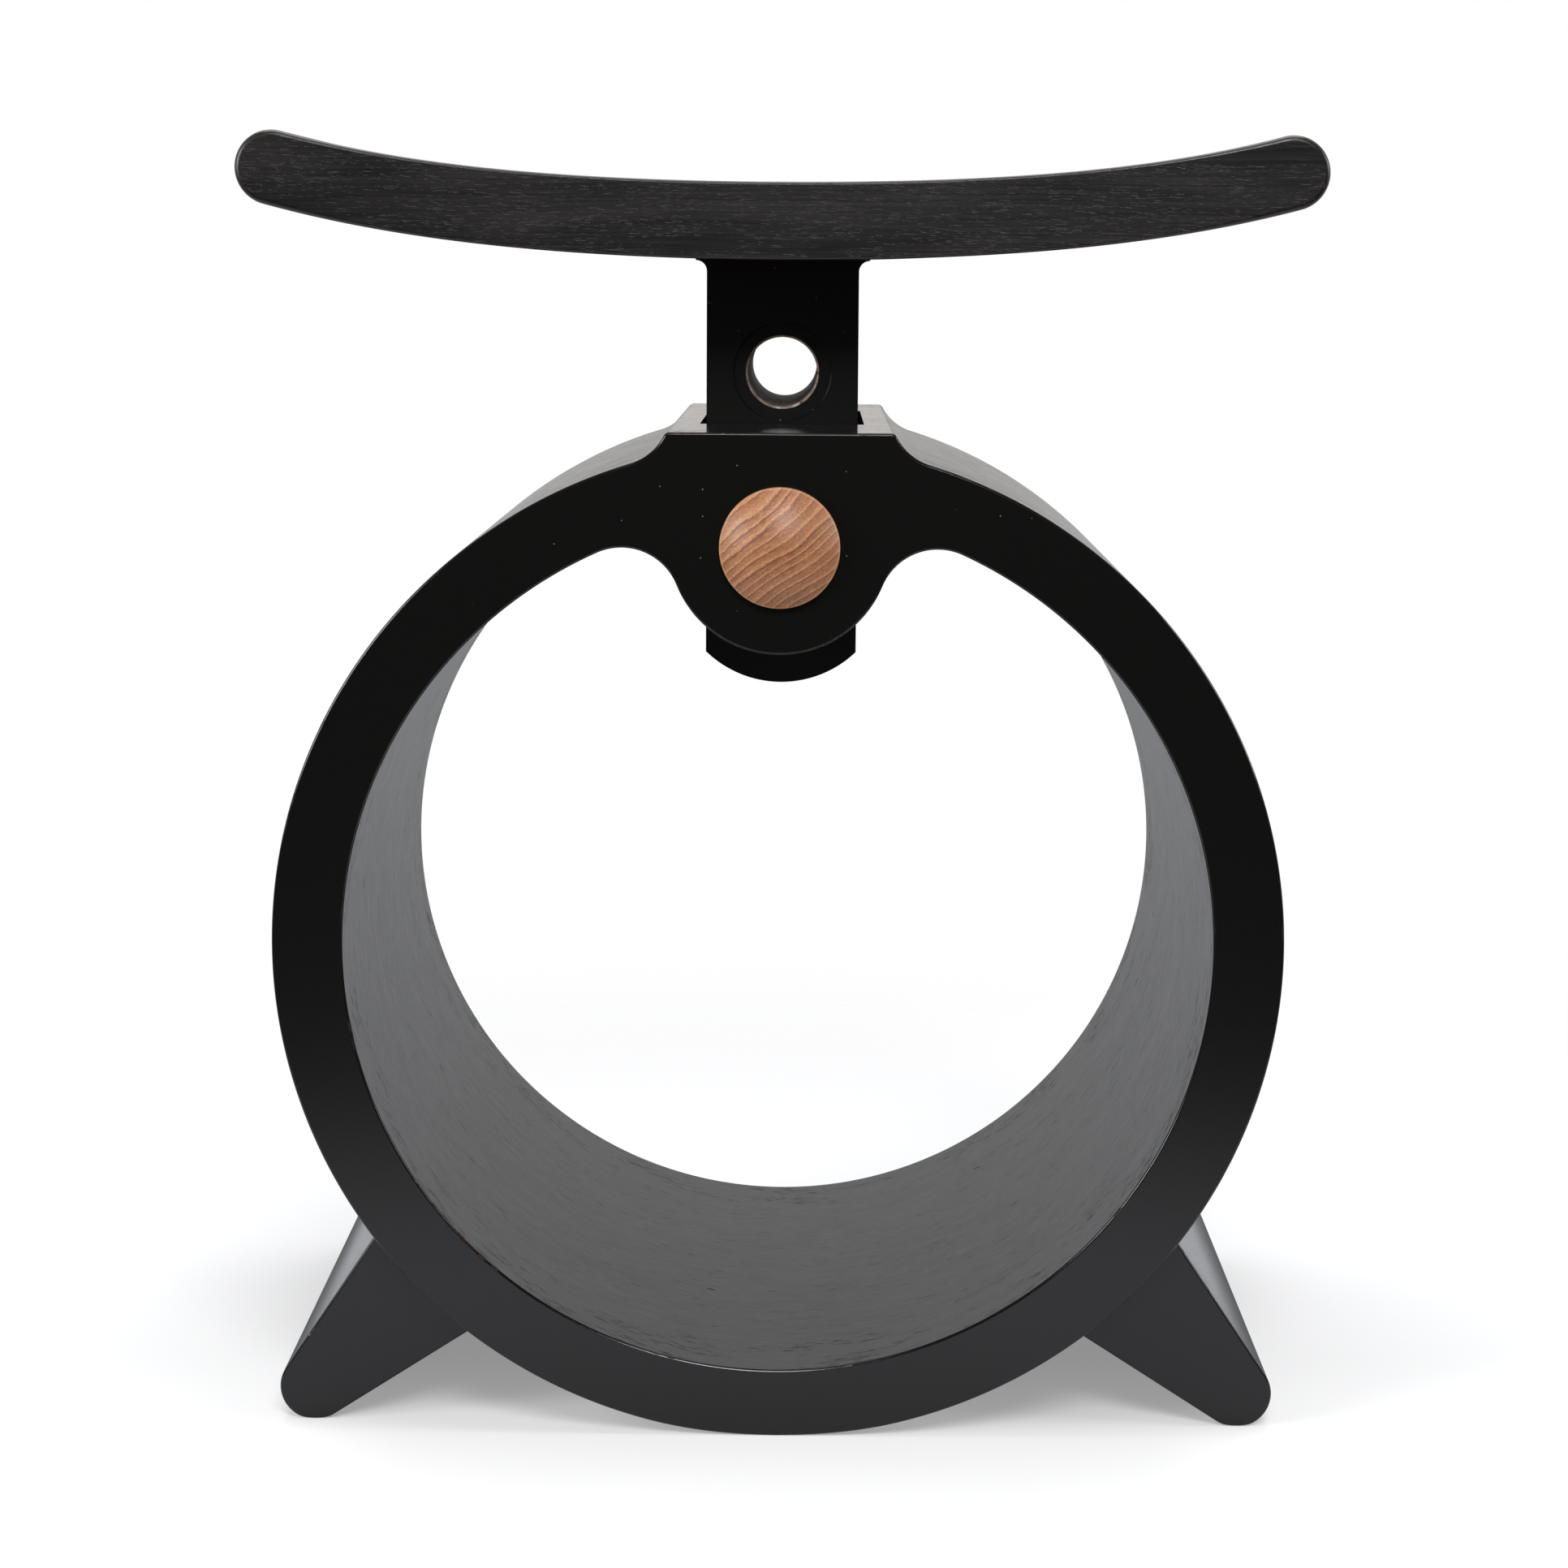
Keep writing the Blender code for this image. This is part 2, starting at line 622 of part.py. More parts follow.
def build():
    clear_scene()
    stool = Stool()
    hoop = stool.make_hoop()
    cheek_y = (HOOP_DEPTH - CHEEK_THICKNESS) / 2
    carriers = [
        ("front", stool.make_cheek("head_front_cheek", -1), -cheek_y),
        ("rear", stool.make_cheek("head_rear_cheek", 1), cheek_y),
    ]
    for side_name, side in (("left", -1), ("right", 1)):
        side_block = stool.make_side_block(f"head_{side_name}_block", side)
        for place_name, carrier, y in [*carriers, ("middle", side_block, 0)]:
            stool.join_head(hoop, carrier, f"{side_name}_{place_name}_tenon", side, y)
        stool.make_foot(side_name, side, hoop)
    post = stool.make_post()
    stool.fix_seat(post, stool.make_seat())
    stool.make_peg()


build()
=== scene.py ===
"""Hoop stool in ebonised wood: its finer pieces, its finishes, and the studio it stands in.

Metres, +Z up, the front of the stool towards -Y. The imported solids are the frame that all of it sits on.
"""

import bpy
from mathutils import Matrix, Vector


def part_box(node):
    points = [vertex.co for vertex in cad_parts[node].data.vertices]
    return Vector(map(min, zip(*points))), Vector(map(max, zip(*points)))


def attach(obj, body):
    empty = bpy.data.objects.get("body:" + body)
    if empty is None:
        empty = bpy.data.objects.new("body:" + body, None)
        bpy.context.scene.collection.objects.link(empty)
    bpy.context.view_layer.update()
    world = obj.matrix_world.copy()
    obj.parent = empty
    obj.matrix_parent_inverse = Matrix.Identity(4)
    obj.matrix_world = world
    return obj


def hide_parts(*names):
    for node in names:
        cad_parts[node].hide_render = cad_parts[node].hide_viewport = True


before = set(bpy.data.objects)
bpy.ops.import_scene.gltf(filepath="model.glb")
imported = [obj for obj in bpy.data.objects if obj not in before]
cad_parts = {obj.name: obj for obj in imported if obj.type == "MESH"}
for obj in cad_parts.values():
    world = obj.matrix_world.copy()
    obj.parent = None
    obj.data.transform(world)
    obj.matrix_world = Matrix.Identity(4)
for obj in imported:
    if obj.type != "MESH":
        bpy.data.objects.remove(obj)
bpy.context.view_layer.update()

import math

import bmesh
import bpy
from bpy.props import FloatProperty, FloatVectorProperty, PointerProperty
from bpy.types import Operator, Panel, PropertyGroup
from mathutils import Matrix, Vector

bl_info = {
    "name": "Hoop Stool",
    "version": (1, 0, 0),
    "blender": (4, 5, 0),
    "location": "3D View > Sidebar > Hoop Stool",
    "description": "Makes a wooden stool on a standing hoop, with a pegged post, and its studio",
    "category": "Object",
}

STOOL_BODY = "stool"
PEG_BODY = "peg"

CHORD_ERROR = 0.000008  # how far a facet may stand off the true curve
EDGE_STEPS = 4  # facets across a rounded edge
TURN_STEPS = 160  # facets round a turned piece
DOME_STEPS = 32  # facets from the crown of the peg to its rim
SMOOTH_LIMIT = math.radians(35)  # edges that turn further than this stay crisp
QUARTER = math.pi / 2
FULL_TURN = 2 * math.pi
MERGE_REACH = 1e-6  # points of a turned piece that lie closer than this become one
NEAR = 1e-4  # a point this close to a surface counts as on it
NEAR_TURN = 1e-3  # the same for an angle
CAP_FACING = 0.99  # a face whose normal is this much along the depth is a front or a rear
TOOL_PAST = 0.01  # how far a cutting tool reaches past the surface
TOOL_LIP = 0.00002  # how far before the surface a tool starts to narrow

ROW_SKEW = 0.618  # of a mark's cell, from one row of marks to the next
FULL_MARKS = 0.6  # share of the marks that show at full strength
DUST_CELLS = 75.0  # in a metre of the front, each with one speck of dust or none
DUST_LOW, DUST_HIGH = 0.30, 0.33  # dust lies on the front above these heights
TORN_LOW, TORN_HIGH = 0.088, 0.108  # torn grain lies beyond these depths, towards the rims
SCUFF_LOW, SCUFF_HIGH = 0.010, 0.048  # the feet are scuffed below these heights
FACE_GRAIN = 0.06  # share of the grain that shows on the polished front and rear faces
PEG_GRAIN = math.radians(38)  # slope of the growth rings across the peg's head

HOOP_LOW, HOOP_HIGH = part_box("hoop")
CHEEK_LOW, CHEEK_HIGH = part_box("head_front_cheek")
POST_LOW, POST_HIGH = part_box("post")
SEAT_LOW, SEAT_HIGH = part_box("seat_board")
FOOT_LOW, FOOT_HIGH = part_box("right_foot")
PEG_LOW, PEG_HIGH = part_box("height_peg")


# Settings


def length(name, description, default):
    return FloatProperty(
        name=name, description=description, default=default, unit="LENGTH", precision=4
    )


def angle(name, description, default):
    return FloatProperty(
        name=name, description=description, default=default, subtype="ANGLE", unit="ROTATION"
    )


def share(name, description, default):
    return FloatProperty(
        name=name, description=description, default=default, min=0, max=1, subtype="FACTOR"
    )


def tint(name, description, default):
    return FloatVectorProperty(
        name=name, description=description, default=default, size=3, min=0, max=1, subtype="COLOR"
    )


def strength(name, description, default):
    return FloatProperty(name=name, description=description, default=default, min=0)


def power(name, description, default):
    return FloatProperty(name=name, description=description, default=default, min=0, unit="POWER")


class StoolSizes(PropertyGroup):
    """Sizes of the stool's pieces."""

    hoop_radius: length("Hoop radius", "Outside of the bent hoop", HOOP_HIGH.x)
    hoop_wall: length("Hoop wall", "Thickness of the bent hoop", 0.0258)
    hoop_depth: length("Hoop depth", "Hoop from front to rear", HOOP_HIGH.y - HOOP_LOW.y)
    floor_flat: length("Floor flat", "Taken off the hoop and feet where they stand", 0.0005)
    hoop_rest: length("Hoop rest", "Half width of the eased underside of the hoop", 0.045)
    foot_rest: length("Foot rest", "Half width of the eased underside of a foot", 0.0065)
    edge_round: length("Edge round", "Rounding of the black edges", 0.0010)

    head_top: length("Head top", "Height of the flat top of the head", CHEEK_HIGH.z)
    head_width: length("Head width", "Flat top of the head, between its corners", 0.082)
    corner_round: length("Head corner", "Rounding of the corners of the head", 0.0025)
    cove_radius: length("Cove", "Hollow curve from the head down to the hoop", 0.020)
    lobe_radius: length("Lobe", "Round lobe of the head, about the peg", 0.0399)
    lobe_rise: length("Lobe rise", "Centre of the lobe above the peg's axis", 0.0013)
    lobe_fillet: length("Lobe fillet", "Hollow curve from the lobe to the hoop", 0.0213)
    joint_run: length("Joint run", "Plain curve on the head before it joins the hoop", 0.006)
    cheek_depth: length("Cheek", "Front and rear slabs of the head", CHEEK_HIGH.y - CHEEK_LOW.y)

    peg_height: length("Peg height", "Axis of the peg above the floor", (PEG_LOW.z + PEG_HIGH.z) / 2)
    peg_head: length("Peg head", "Diameter of the peg's head", PEG_HIGH.x - PEG_LOW.x)
    peg_shank: length("Peg shank", "Diameter of the peg's shank", 0.0254)
    peg_rim: length("Peg rim", "Straight side of the peg's head", 0.0030)
    peg_rim_round: length("Peg rim round", "Rounding between the side and the dome", 0.0009)
    peg_seat_chamfer: length("Peg seat", "Chamfer on the underside of the peg's head", 0.0004)
    peg_tip_chamfer: length("Peg tip", "Chamfer at the tip of the peg", 0.0025)
    bore_room: length("Bore room", "Room between the shank and its bores", 0.0003)

    post_width: length("Post width", "Post from left to right", 0.0569)
    post_depth: length("Post depth", "Post from front to rear", POST_HIGH.y - POST_LOW.y)
    mortise_play: length("Mortise play", "Room round the post in the head", 0.0024)
    toe_radius: length("Toe", "Rounded lower end of the post", 0.0408)
    flare_radius: length("Flare", "Hollow curve from the post out to the seat", 0.0040)
    flare_lip: length("Flare lip", "Straight edge of the flare under the seat", 0.0006)
    setting_step: length("Setting step", "Between the two peg holes", 0.0603)
    dish_width: length("Dish", "Shallow hollow round a peg hole", 0.0370)
    dish_depth: length("Dish depth", "Depth of that hollow", 0.0006)
    hole_round: length("Hole round", "Worn rounding at the mouth of a peg hole", 0.0009)

    seat_length: length("Seat length", "Seat from end to end", SEAT_HIGH.x - SEAT_LOW.x)
    seat_depth: length("Seat depth", "Seat from front to rear", SEAT_HIGH.y - SEAT_LOW.y)
    seat_thickness: length("Seat thickness", "Seat at its middle", 0.0273)
    seat_end: length("Seat end", "Thickness of the seat at its ends", 0.0263)
    seat_rise: length("Seat rise", "How far the ends stand above the middle", 0.01765)
    seat_bow: share("Seat bow", "Share of the rise that is a plain bow", 0.64)
    seat_edge_round: length("Seat edge", "Rounding of the seat's long edges", 0.0011)
    seat_end_round: length("Seat end edge", "Rounding of the edges at the seat's ends", 0.0021)

    foot_slope: angle("Foot slope", "Slope of the feet below the level", math.radians(44.7))
    foot_tip: length("Foot tip", "Radius of the tip of a foot", 0.0129)
    foot_root: length("Foot root", "Width of a foot where it meets the hoop", 0.0520)
    foot_depth: length("Foot depth", "Foot from front to rear", FOOT_HIGH.y - FOOT_LOW.y)
    seam: length("Seam", "Fine groove where a foot meets the hoop", 0.00025)


class StoolFinishes(PropertyGroup):
    """Colours and gloss of the stool."""

    black: tint("Black", "Ebonised wood", (0.0038, 0.0036, 0.0033))
    worn_edge: tint("Worn edge", "Brown wood that shows on the edges", (0.030, 0.016, 0.010))
    pore: tint("Pore", "Open pores in the black wood", (0.0015, 0.0014, 0.0013))
    dust: tint("Dust", "Specks of dust on the black faces", (0.42, 0.42, 0.40))
    face_gloss: share("Face roughness", "Roughness of the front and rear faces", 0.22)
    side_gloss: share("Side roughness", "Roughness inside the hoop and on the post's sides", 0.40)
    outer_gloss: share("Outer roughness", "Roughness of the outside of the hoop", 0.22)
    head_gloss: share("Head roughness", "Roughness of the top of the head", 0.12)
    foot_gloss: share("Foot roughness", "Roughness of the feet beside the hoop", 0.24)
    scuffed_gloss: share("Scuffed roughness", "Roughness of the feet near their tips", 0.68)
    post_gloss: share("Post roughness", "Roughness of the front and rear of the post", 0.28)
    rim_gloss: share("Rim roughness", "Roughness of the rounded edges", 0.14)
    seat_black: tint("Seat black", "Ebonised wood of the seat", (0.0036, 0.0030, 0.0036))
    seat_brown: tint("Seat brown", "Browner streaks of the seat", (0.0078, 0.0055, 0.0059))
    seat_pore: tint("Seat pore", "Pale open pores of the seat", (0.040, 0.033, 0.032))
    seat_rim: tint("Seat rim", "Brown wood that shows along the seat's edges", (0.016, 0.0085, 0.0055))
    seat_gloss: share("Seat roughness", "Roughness of the seat", 0.38)
    seat_rim_gloss: share("Seat rim roughness", "Roughness of the seat's rounded edges", 0.32)
    bare_bore: tint("Bare bore", "Worn wood inside the peg holes", (0.32, 0.235, 0.18))
    scratch: tint("Scratch", "Pale scratches at the mouth of a peg hole", (0.55, 0.53, 0.50))
    peg_wood: tint("Peg wood", "Body colour of the peg", (0.325, 0.124, 0.053))
    peg_mid: tint("Peg flush", "Warmer body colour of the peg", (0.405, 0.163, 0.072))
    # peg_light also paints the highlight ring round the rim of the peg's head
    peg_light: tint("Peg light", "Pale early wood of the peg", (0.74, 0.42, 0.225))
    peg_dark: tint("Peg dark", "Late wood lines of the peg", (0.150, 0.050, 0.019))
    peg_pit: tint("Peg pit", "Open pores of the peg", (0.060, 0.020, 0.009))
    dowel: tint("Dowel", "Plain wood of the hidden dowels", (0.48, 0.33, 0.19))
    dowel_shade: tint("Dowel shade", "Darker fibres of the hidden dowels", (0.40, 0.26, 0.14))
    dowel_ray: tint("Dowel ray", "Short rays in the hidden dowels", (0.30, 0.18, 0.09))


class StoolStage(PropertyGroup):
    """Camera, floor and light."""

    camera_place: FloatVectorProperty(
        name="Camera place",
        description="Where the camera stands",
        default=(0.01145, -1.3622, 0.43177),
        subtype="TRANSLATION",
        unit="LENGTH",
    )
    camera_pitch: angle("Camera pitch", "How far the camera looks down", 0.15003)
    camera_yaw: angle("Camera yaw", "How far the camera turns to the right", -0.00761)
    camera_roll: angle("Camera roll", "How far the camera leans", 0.00599)
    camera_lens: FloatProperty(
        name="Camera lens",
        description="Focal length in millimetres on a 36 mm sensor",
        default=79.216,
        unit="CAMERA",
    )
    floor_colour: tint("Floor", "Pale studio floor", (0.60, 0.60, 0.605))
    floor_mirrored: tint("Mirrored floor", "The floor as black faces mirror it", (0.510, 0.520, 0.556))
    floor_lift: share("Floor lift", "Light that the camera sees in the floor's shadows", 0.28)
    front_lift: share("Front lift", "The same on the floor in front of the stool", 0.345)
    floor_near: length("Floor near", "Distance at which the floor starts to fade", 0.36)
    floor_far: length("Floor far", "Distance at which the floor has faded out", 0.80)
    mirrored_lift: share("Mirrored lift", "Share of the lift that black faces mirror", 0.4)
    back_light: strength("Back light", "Brightness of the studio behind the stool", 0.8)
    front_light: strength("Front light", "Brightness of the studio before the stool", 0.04)
    horizon_tint: tint("Horizon", "Tint of the studio's light at eye level", (1.0, 0.93, 0.86))
    sky_tint: tint("Sky", "Tint of the rest of the studio's light", (0.962, 0.974, 1.0))
    top_power: power("Top softbox", "Power of the softbox overhead", 18)
    left_power: power("Left softbox", "Power of the softbox on the left", 20)
    right_power: power("Right softbox", "Power of the softbox on the right", 11)
    front_power: power("Front softbox", "Power of the softbox in front", 30)


# Outlines in the XZ plane


def bearing(turn):
    """Unit vector at an angle from straight up, clockwise as seen from the front."""
    return Vector((math.sin(turn), math.cos(turn)))


def angle_of(vector):
    return math.atan2(vector.y, vector.x)


def arc(centre, radius, start, end):
    """Points of an arc, both ends included, with angles counted from +X."""
    step = 2 * math.acos(1 - CHORD_ERROR / radius)
    count = max(2, math.ceil(abs(end - start) / step))
    turns = [start + (end - start) * i / count for i in range(count + 1)]
    return [centre + radius * Vector((math.cos(t), math.sin(t))) for t in turns]


def mirrored(points):
    return [Vector((-p.x, p.y)) for p in reversed(points)]


def triangle_angle(side_a, side_b, opposite):
    """Angle between two sides of a triangle, from its three sides."""
    return math.acos((side_a**2 + side_b**2 - opposite**2) / (2 * side_a * side_b))


def clipped(points, inward, offset):
    """The outline on one side of a line, which is given by its inward normal and offset."""
    kept = []
    for here, after in zip(points, points[1:] + points[:1]):
        depth, next_depth = here.dot(inward) - offset, after.dot(inward) - offset
        if depth >= 0:
            kept.append(here)
        if (depth < 0) != (next_depth < 0):
            kept.append(here.lerp(after, depth / (depth - next_depth)))
    return kept


class StoolPlan:
    """The pieces' outlines, worked out from the sizes."""

    def __init__(self, sizes):
        self.sizes = sizes
        self.centre = Vector((0, sizes.hoop_radius - sizes.floor_flat))
        self.inner_radius = sizes.hoop_radius - sizes.hoop_wall
        self.peg_centre = Vector((0, sizes.peg_height))
        self.lobe_centre = self.peg_centre + Vector((0, sizes.lobe_rise))
        self.upper_hole = self.peg_centre + Vector((0, sizes.setting_step))
        self.front = -sizes.hoop_depth / 2
        self.mortise_half_width = sizes.post_width / 2 + sizes.mortise_play
        self.bore_radius = sizes.peg_shank / 2 + sizes.bore_room
        self.seat_reach = (sizes.seat_length - sizes.seat_end) / 2
        self.seat_underside = SEAT_LOW.z
        self.cove_turn = self.find_cove_turn()
        self.fillet_turn = triangle_angle(
            self.lobe_centre.y - self.centre.y,
            self.inner_radius - sizes.lobe_fillet,
            sizes.lobe_radius + sizes.lobe_fillet,
        )
        self.joint_turn = max(self.cove_turn, self.fillet_turn) + sizes.joint_run / self.inner_radius

    def find_cove_turn(self):
        """Where the cove runs out on the outside of the hoop."""
        corner = Vector((self.sizes.head_width / 2, self.sizes.head_top)) - self.centre
        reach = self.sizes.hoop_radius + self.sizes.cove_radius
        return math.atan2(corner.x, corner.y) + triangle_angle(
            corner.length, reach, self.sizes.cove_radius
        )

    def from_centre(self, point):
        """Where a point of a solid lies from the hoop's centre, in the XZ plane."""
        return Vector((point.x, point.z)) - self.centre

    def in_joint(self, point):
        """Whether a point lies on a joint between the head and the hoop, inside the wall."""
        arm = self.from_centre(point)
        in_wall = self.inner_radius + NEAR < arm.length < self.sizes.hoop_radius - NEAR
        return in_wall and abs(abs(math.atan2(arm.x, arm.y)) - self.joint_turn) < NEAR_TURN

    def head(self):
        """Outline of the head: flat top, coves, run-outs on the hoop, fillets and lobe."""
        sizes = self.sizes
        cove_centre = self.centre + (sizes.hoop_radius + sizes.cove_radius) * bearing(self.cove_turn)
        fillet_centre = self.centre + (self.inner_radius - sizes.lobe_fillet) * bearing(
            self.fillet_turn
        )
        round_z = sizes.head_top - sizes.corner_round
        reach = sizes.cove_radius + sizes.corner_round
        run = math.sqrt(reach**2 - (cove_centre.y - round_z) ** 2)
        round_centre = Vector((cove_centre.x - run, round_z))
        corner = arc(
            round_centre, sizes.corner_round, QUARTER, angle_of(cove_centre - round_centre)
        )
        cove = arc(
            cove_centre,
            sizes.cove_radius,
            angle_of(round_centre - cove_centre) % FULL_TURN,
            angle_of(self.centre - cove_centre) % FULL_TURN,
        )
        shoulder = arc(
            self.centre, sizes.hoop_radius, QUARTER - self.cove_turn, QUARTER - self.joint_turn
        )
        soffit = arc(
            self.centre, self.inner_radius, QUARTER - self.joint_turn, QUARTER - self.fillet_turn
        )
        fillet = arc(
            fillet_centre,
            sizes.lobe_fillet,
            QUARTER - self.fillet_turn,
            angle_of(self.lobe_centre - fillet_centre),
        )
        lobe = arc(
            self.lobe_centre, sizes.lobe_radius, angle_of(fillet_centre - self.lobe_centre), -QUARTER
        )
        right = corner + cove[1:] + shoulder[1:] + soffit[:-1] + fillet[:-1] + lobe
        return right + mirrored(right)[1:]

    def hoop(self):
        """Outline of the bent ring, open at the top, eased where it stands."""
        start, end = QUARTER - self.joint_turn, self.joint_turn - 3 * QUARTER
        radius = self.sizes.hoop_radius
        spread = math.asin(self.sizes.hoop_rest / radius)
        right = arc(self.centre, radius, start, spread - QUARTER)
        left = arc(self.centre, radius, -QUARTER - spread, end)
        inside = arc(self.centre, self.inner_radius, end, start)
        return right + self.rest(0, radius, self.sizes.hoop_rest) + left + inside

    def rest(self, x, radius, reach, stations=24):
        """A round underside that flattens to touch the floor, from reach right of x to reach left."""
        drop = math.sqrt(radius**2 - reach**2)
        edge = radius - self.sizes.floor_flat - drop
        fourth = reach**2 / drop / 2 - edge
        shares = [1 - 2 * i / stations for i in range(1, stations)]
        return [Vector((x + reach * s, (edge - fourth) * s**2 + fourth * s**4)) for s in shares]

    def foot(self):
        """Outline of the right foot: hollow root, straight sides, round tip eased for the floor."""
        sizes = self.sizes
        axis = Vector((math.cos(sizes.foot_slope), -math.sin(sizes.foot_slope)))
        drop = self.centre.y - sizes.foot_tip + sizes.floor_flat
        tip = self.centre + axis * drop / math.sin(sizes.foot_slope)
        spread = math.asin(sizes.foot_root / 2 / sizes.hoop_radius)
        root = arc(
            self.centre, sizes.hoop_radius, -sizes.foot_slope + spread, -sizes.foot_slope - spread
        )
        upper, lower = root[0] - tip, root[-1] - tip
        upper_touch = angle_of(upper) - math.acos(sizes.foot_tip / upper.length)
        lower_touch = angle_of(lower) + math.acos(sizes.foot_tip / lower.length)
        spread = math.asin(sizes.foot_rest / sizes.foot_tip)
        heel = arc(tip, sizes.foot_tip, lower_touch, 3 * QUARTER - spread)
        nose = arc(tip, sizes.foot_tip, 3 * QUARTER + spread, upper_touch + FULL_TURN)
        return root + heel + self.rest(tip.x, sizes.foot_tip, sizes.foot_rest)[::-1] + nose

    def seat_point(self, x, side):
        """A point of the seat's section at x along its middle line; side is 1 on top, -1 below."""
        sizes = self.sizes
        along = x / self.seat_reach
        bow, turn_up = sizes.seat_bow, 1 - sizes.seat_bow
        rise = sizes.seat_rise * (bow * along**2 + turn_up * along**4)
        slope = sizes.seat_rise * (2 * bow * along + 4 * turn_up * along**3) / self.seat_reach
        fuller = (sizes.seat_thickness - sizes.seat_end) * (1 - along**2) ** 2
        middle = self.seat_underside + sizes.seat_thickness / 2
        normal = Vector((-slope, 1)).normalized()
        return Vector((x, middle + rise)) + side * (sizes.seat_end + fuller) / 2 * normal

    def seat(self, stations=120):
        """Outline of the dished seat with its round ends."""
        places = [self.seat_reach * (2 * i / stations - 1) for i in range(stations + 1)]
        top = [self.seat_point(x, 1) for x in places]
        underside = [self.seat_point(x, -1) for x in places]
        end_centre = (top[-1] + underside[-1]) / 2
        start = angle_of(top[-1] - end_centre)
        end = arc(end_centre, self.sizes.seat_end / 2, start, start - math.pi)
        return top[1:-1] + end + underside[-2:0:-1] + mirrored(end)

    def post(self, stations=16):
        """Outline of the post, from its flare under the seat to its rounded toe."""
        sizes = self.sizes
        half = sizes.post_width / 2
        flare_reach = half + sizes.flare_radius
        top = [self.seat_point(flare_reach * i / stations, -1) for i in range(stations + 1)]
        flare_centre = Vector((flare_reach, top[-1].y - sizes.flare_lip - sizes.flare_radius))
        flare = arc(flare_centre, sizes.flare_radius, QUARTER, 2 * QUARTER)
        toe_centre = Vector((0, POST_LOW.z + sizes.toe_radius))
        toe = arc(toe_centre, sizes.toe_radius, -math.acos(half / sizes.toe_radius), -QUARTER)
        right = top + flare + toe
        return right + mirrored(right)[1:-1]


# Solids


def add_piece(name, mesh):
    piece = bpy.data.objects.new(name, mesh)
    bpy.context.scene.collection.objects.link(piece)
    return piece


def prism(name, outline, near, far):
    """A solid of an outline in the XZ plane, from one depth to another."""
    shape = bmesh.new()
    cap = shape.faces.new([shape.verts.new((p.x, near, p.y)) for p in outline])
    pulled = bmesh.ops.extrude_face_region(shape, geom=[cap], use_keep_orig=True)
    moved = [part for part in pulled["geom"] if isinstance(part, bmesh.types.BMVert)]
    bmesh.ops.translate(shape, verts=moved, vec=(0, far - near, 0))
    bmesh.ops.recalc_face_normals(shape, faces=shape.faces)
    mesh = bpy.data.meshes.new(name)
    shape.to_mesh(mesh)
    shape.free()
    return add_piece(name, mesh)


def turned(name, profile, centre):
    """A turned solid about an axis along Y; the profile holds (radius, depth) pairs."""
    shape = bmesh.new()
    start = [shape.verts.new((centre.x + radius, depth, centre.y)) for radius, depth in profile]
    edges = [shape.edges.new(pair) for pair in zip(start, start[1:])]
    bmesh.ops.spin(
        shape,
        geom=start + edges,
        cent=(centre.x, 0, centre.y),
        axis=(0, 1, 0),
        angle=FULL_TURN,
        steps=TURN_STEPS,
    )
    bmesh.ops.remove_doubles(shape, verts=shape.verts, dist=MERGE_REACH)
    bmesh.ops.recalc_face_normals(shape, faces=shape.faces)
    mesh = bpy.data.meshes.new(name)
    shape.to_mesh(mesh)
    shape.free()
    return add_piece(name, mesh)


def round_rims(piece, width, pick):
    """Rounds the edges round the front and rear faces; pick gives each edge's share of the width."""
    shape = bmesh.new()
    shape.from_mesh(piece.data)
    weight = shape.edges.layers.float.new("bevel_weight_edge")
    for edge in shape.edges:
        caps = [face.normal.y for face in edge.link_faces if abs(face.normal.y) > CAP_FACING]
        if len(caps) == 1:
            middle = (edge.verts[0].co + edge.verts[1].co) / 2
            edge[weight] = pick(middle, caps[0])
    shape.to_mesh(piece.data)
    shape.free()
    rounding = piece.modifiers.new("rounded_rims", "BEVEL")
    rounding.limit_method = "WEIGHT"
    rounding.width = width
    rounding.segments = EDGE_STEPS
    settle(piece)


def settle(piece):
    """Puts the modifiers' result into the mesh."""
    graph = bpy.context.evaluated_depsgraph_get()
    rough = piece.data
    piece.data = bpy.data.meshes.new_from_object(piece.evaluated_get(graph))
    piece.modifiers.clear()
    bpy.data.meshes.remove(rough)


def cut(piece, tool):
    """Takes a tool's shape out of a piece, and removes the tool."""
    cutting = piece.modifiers.new("cut", "BOOLEAN")
    cutting.operation = "DIFFERENCE"
    cutting.solver = "EXACT"
    cutting.object = tool
    settle(piece)
    bpy.data.objects.remove(tool)


def quarter_round(radius, face, size, towards):
    """Profile of a bore that opens out in a quarter round as it reaches a face."""
    points = []
    for i in range(EDGE_STEPS + 1):
        turn = QUARTER * i / EDGE_STEPS
        points.append(
            (radius + size * (1 - math.cos(turn)), face - towards * size * (1 - math.sin(turn)))
        )
    return points


def hand_over(piece, name, material, nodes, body):
    """Smooths a finished piece, gives it its material, and sets it on its body in the frame."""
    piece.data.name = name
    piece.data.shade_smooth()
    piece.data.set_sharp_from_angle(angle=SMOOTH_LIMIT)
    piece.data.materials.clear()
    piece.data.materials.append(material)
    evening = piece.modifiers.new("even_shading", "WEIGHTED_NORMAL")
    evening.keep_sharp = True
    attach(piece, body)
    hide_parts(*nodes)


# Finishes


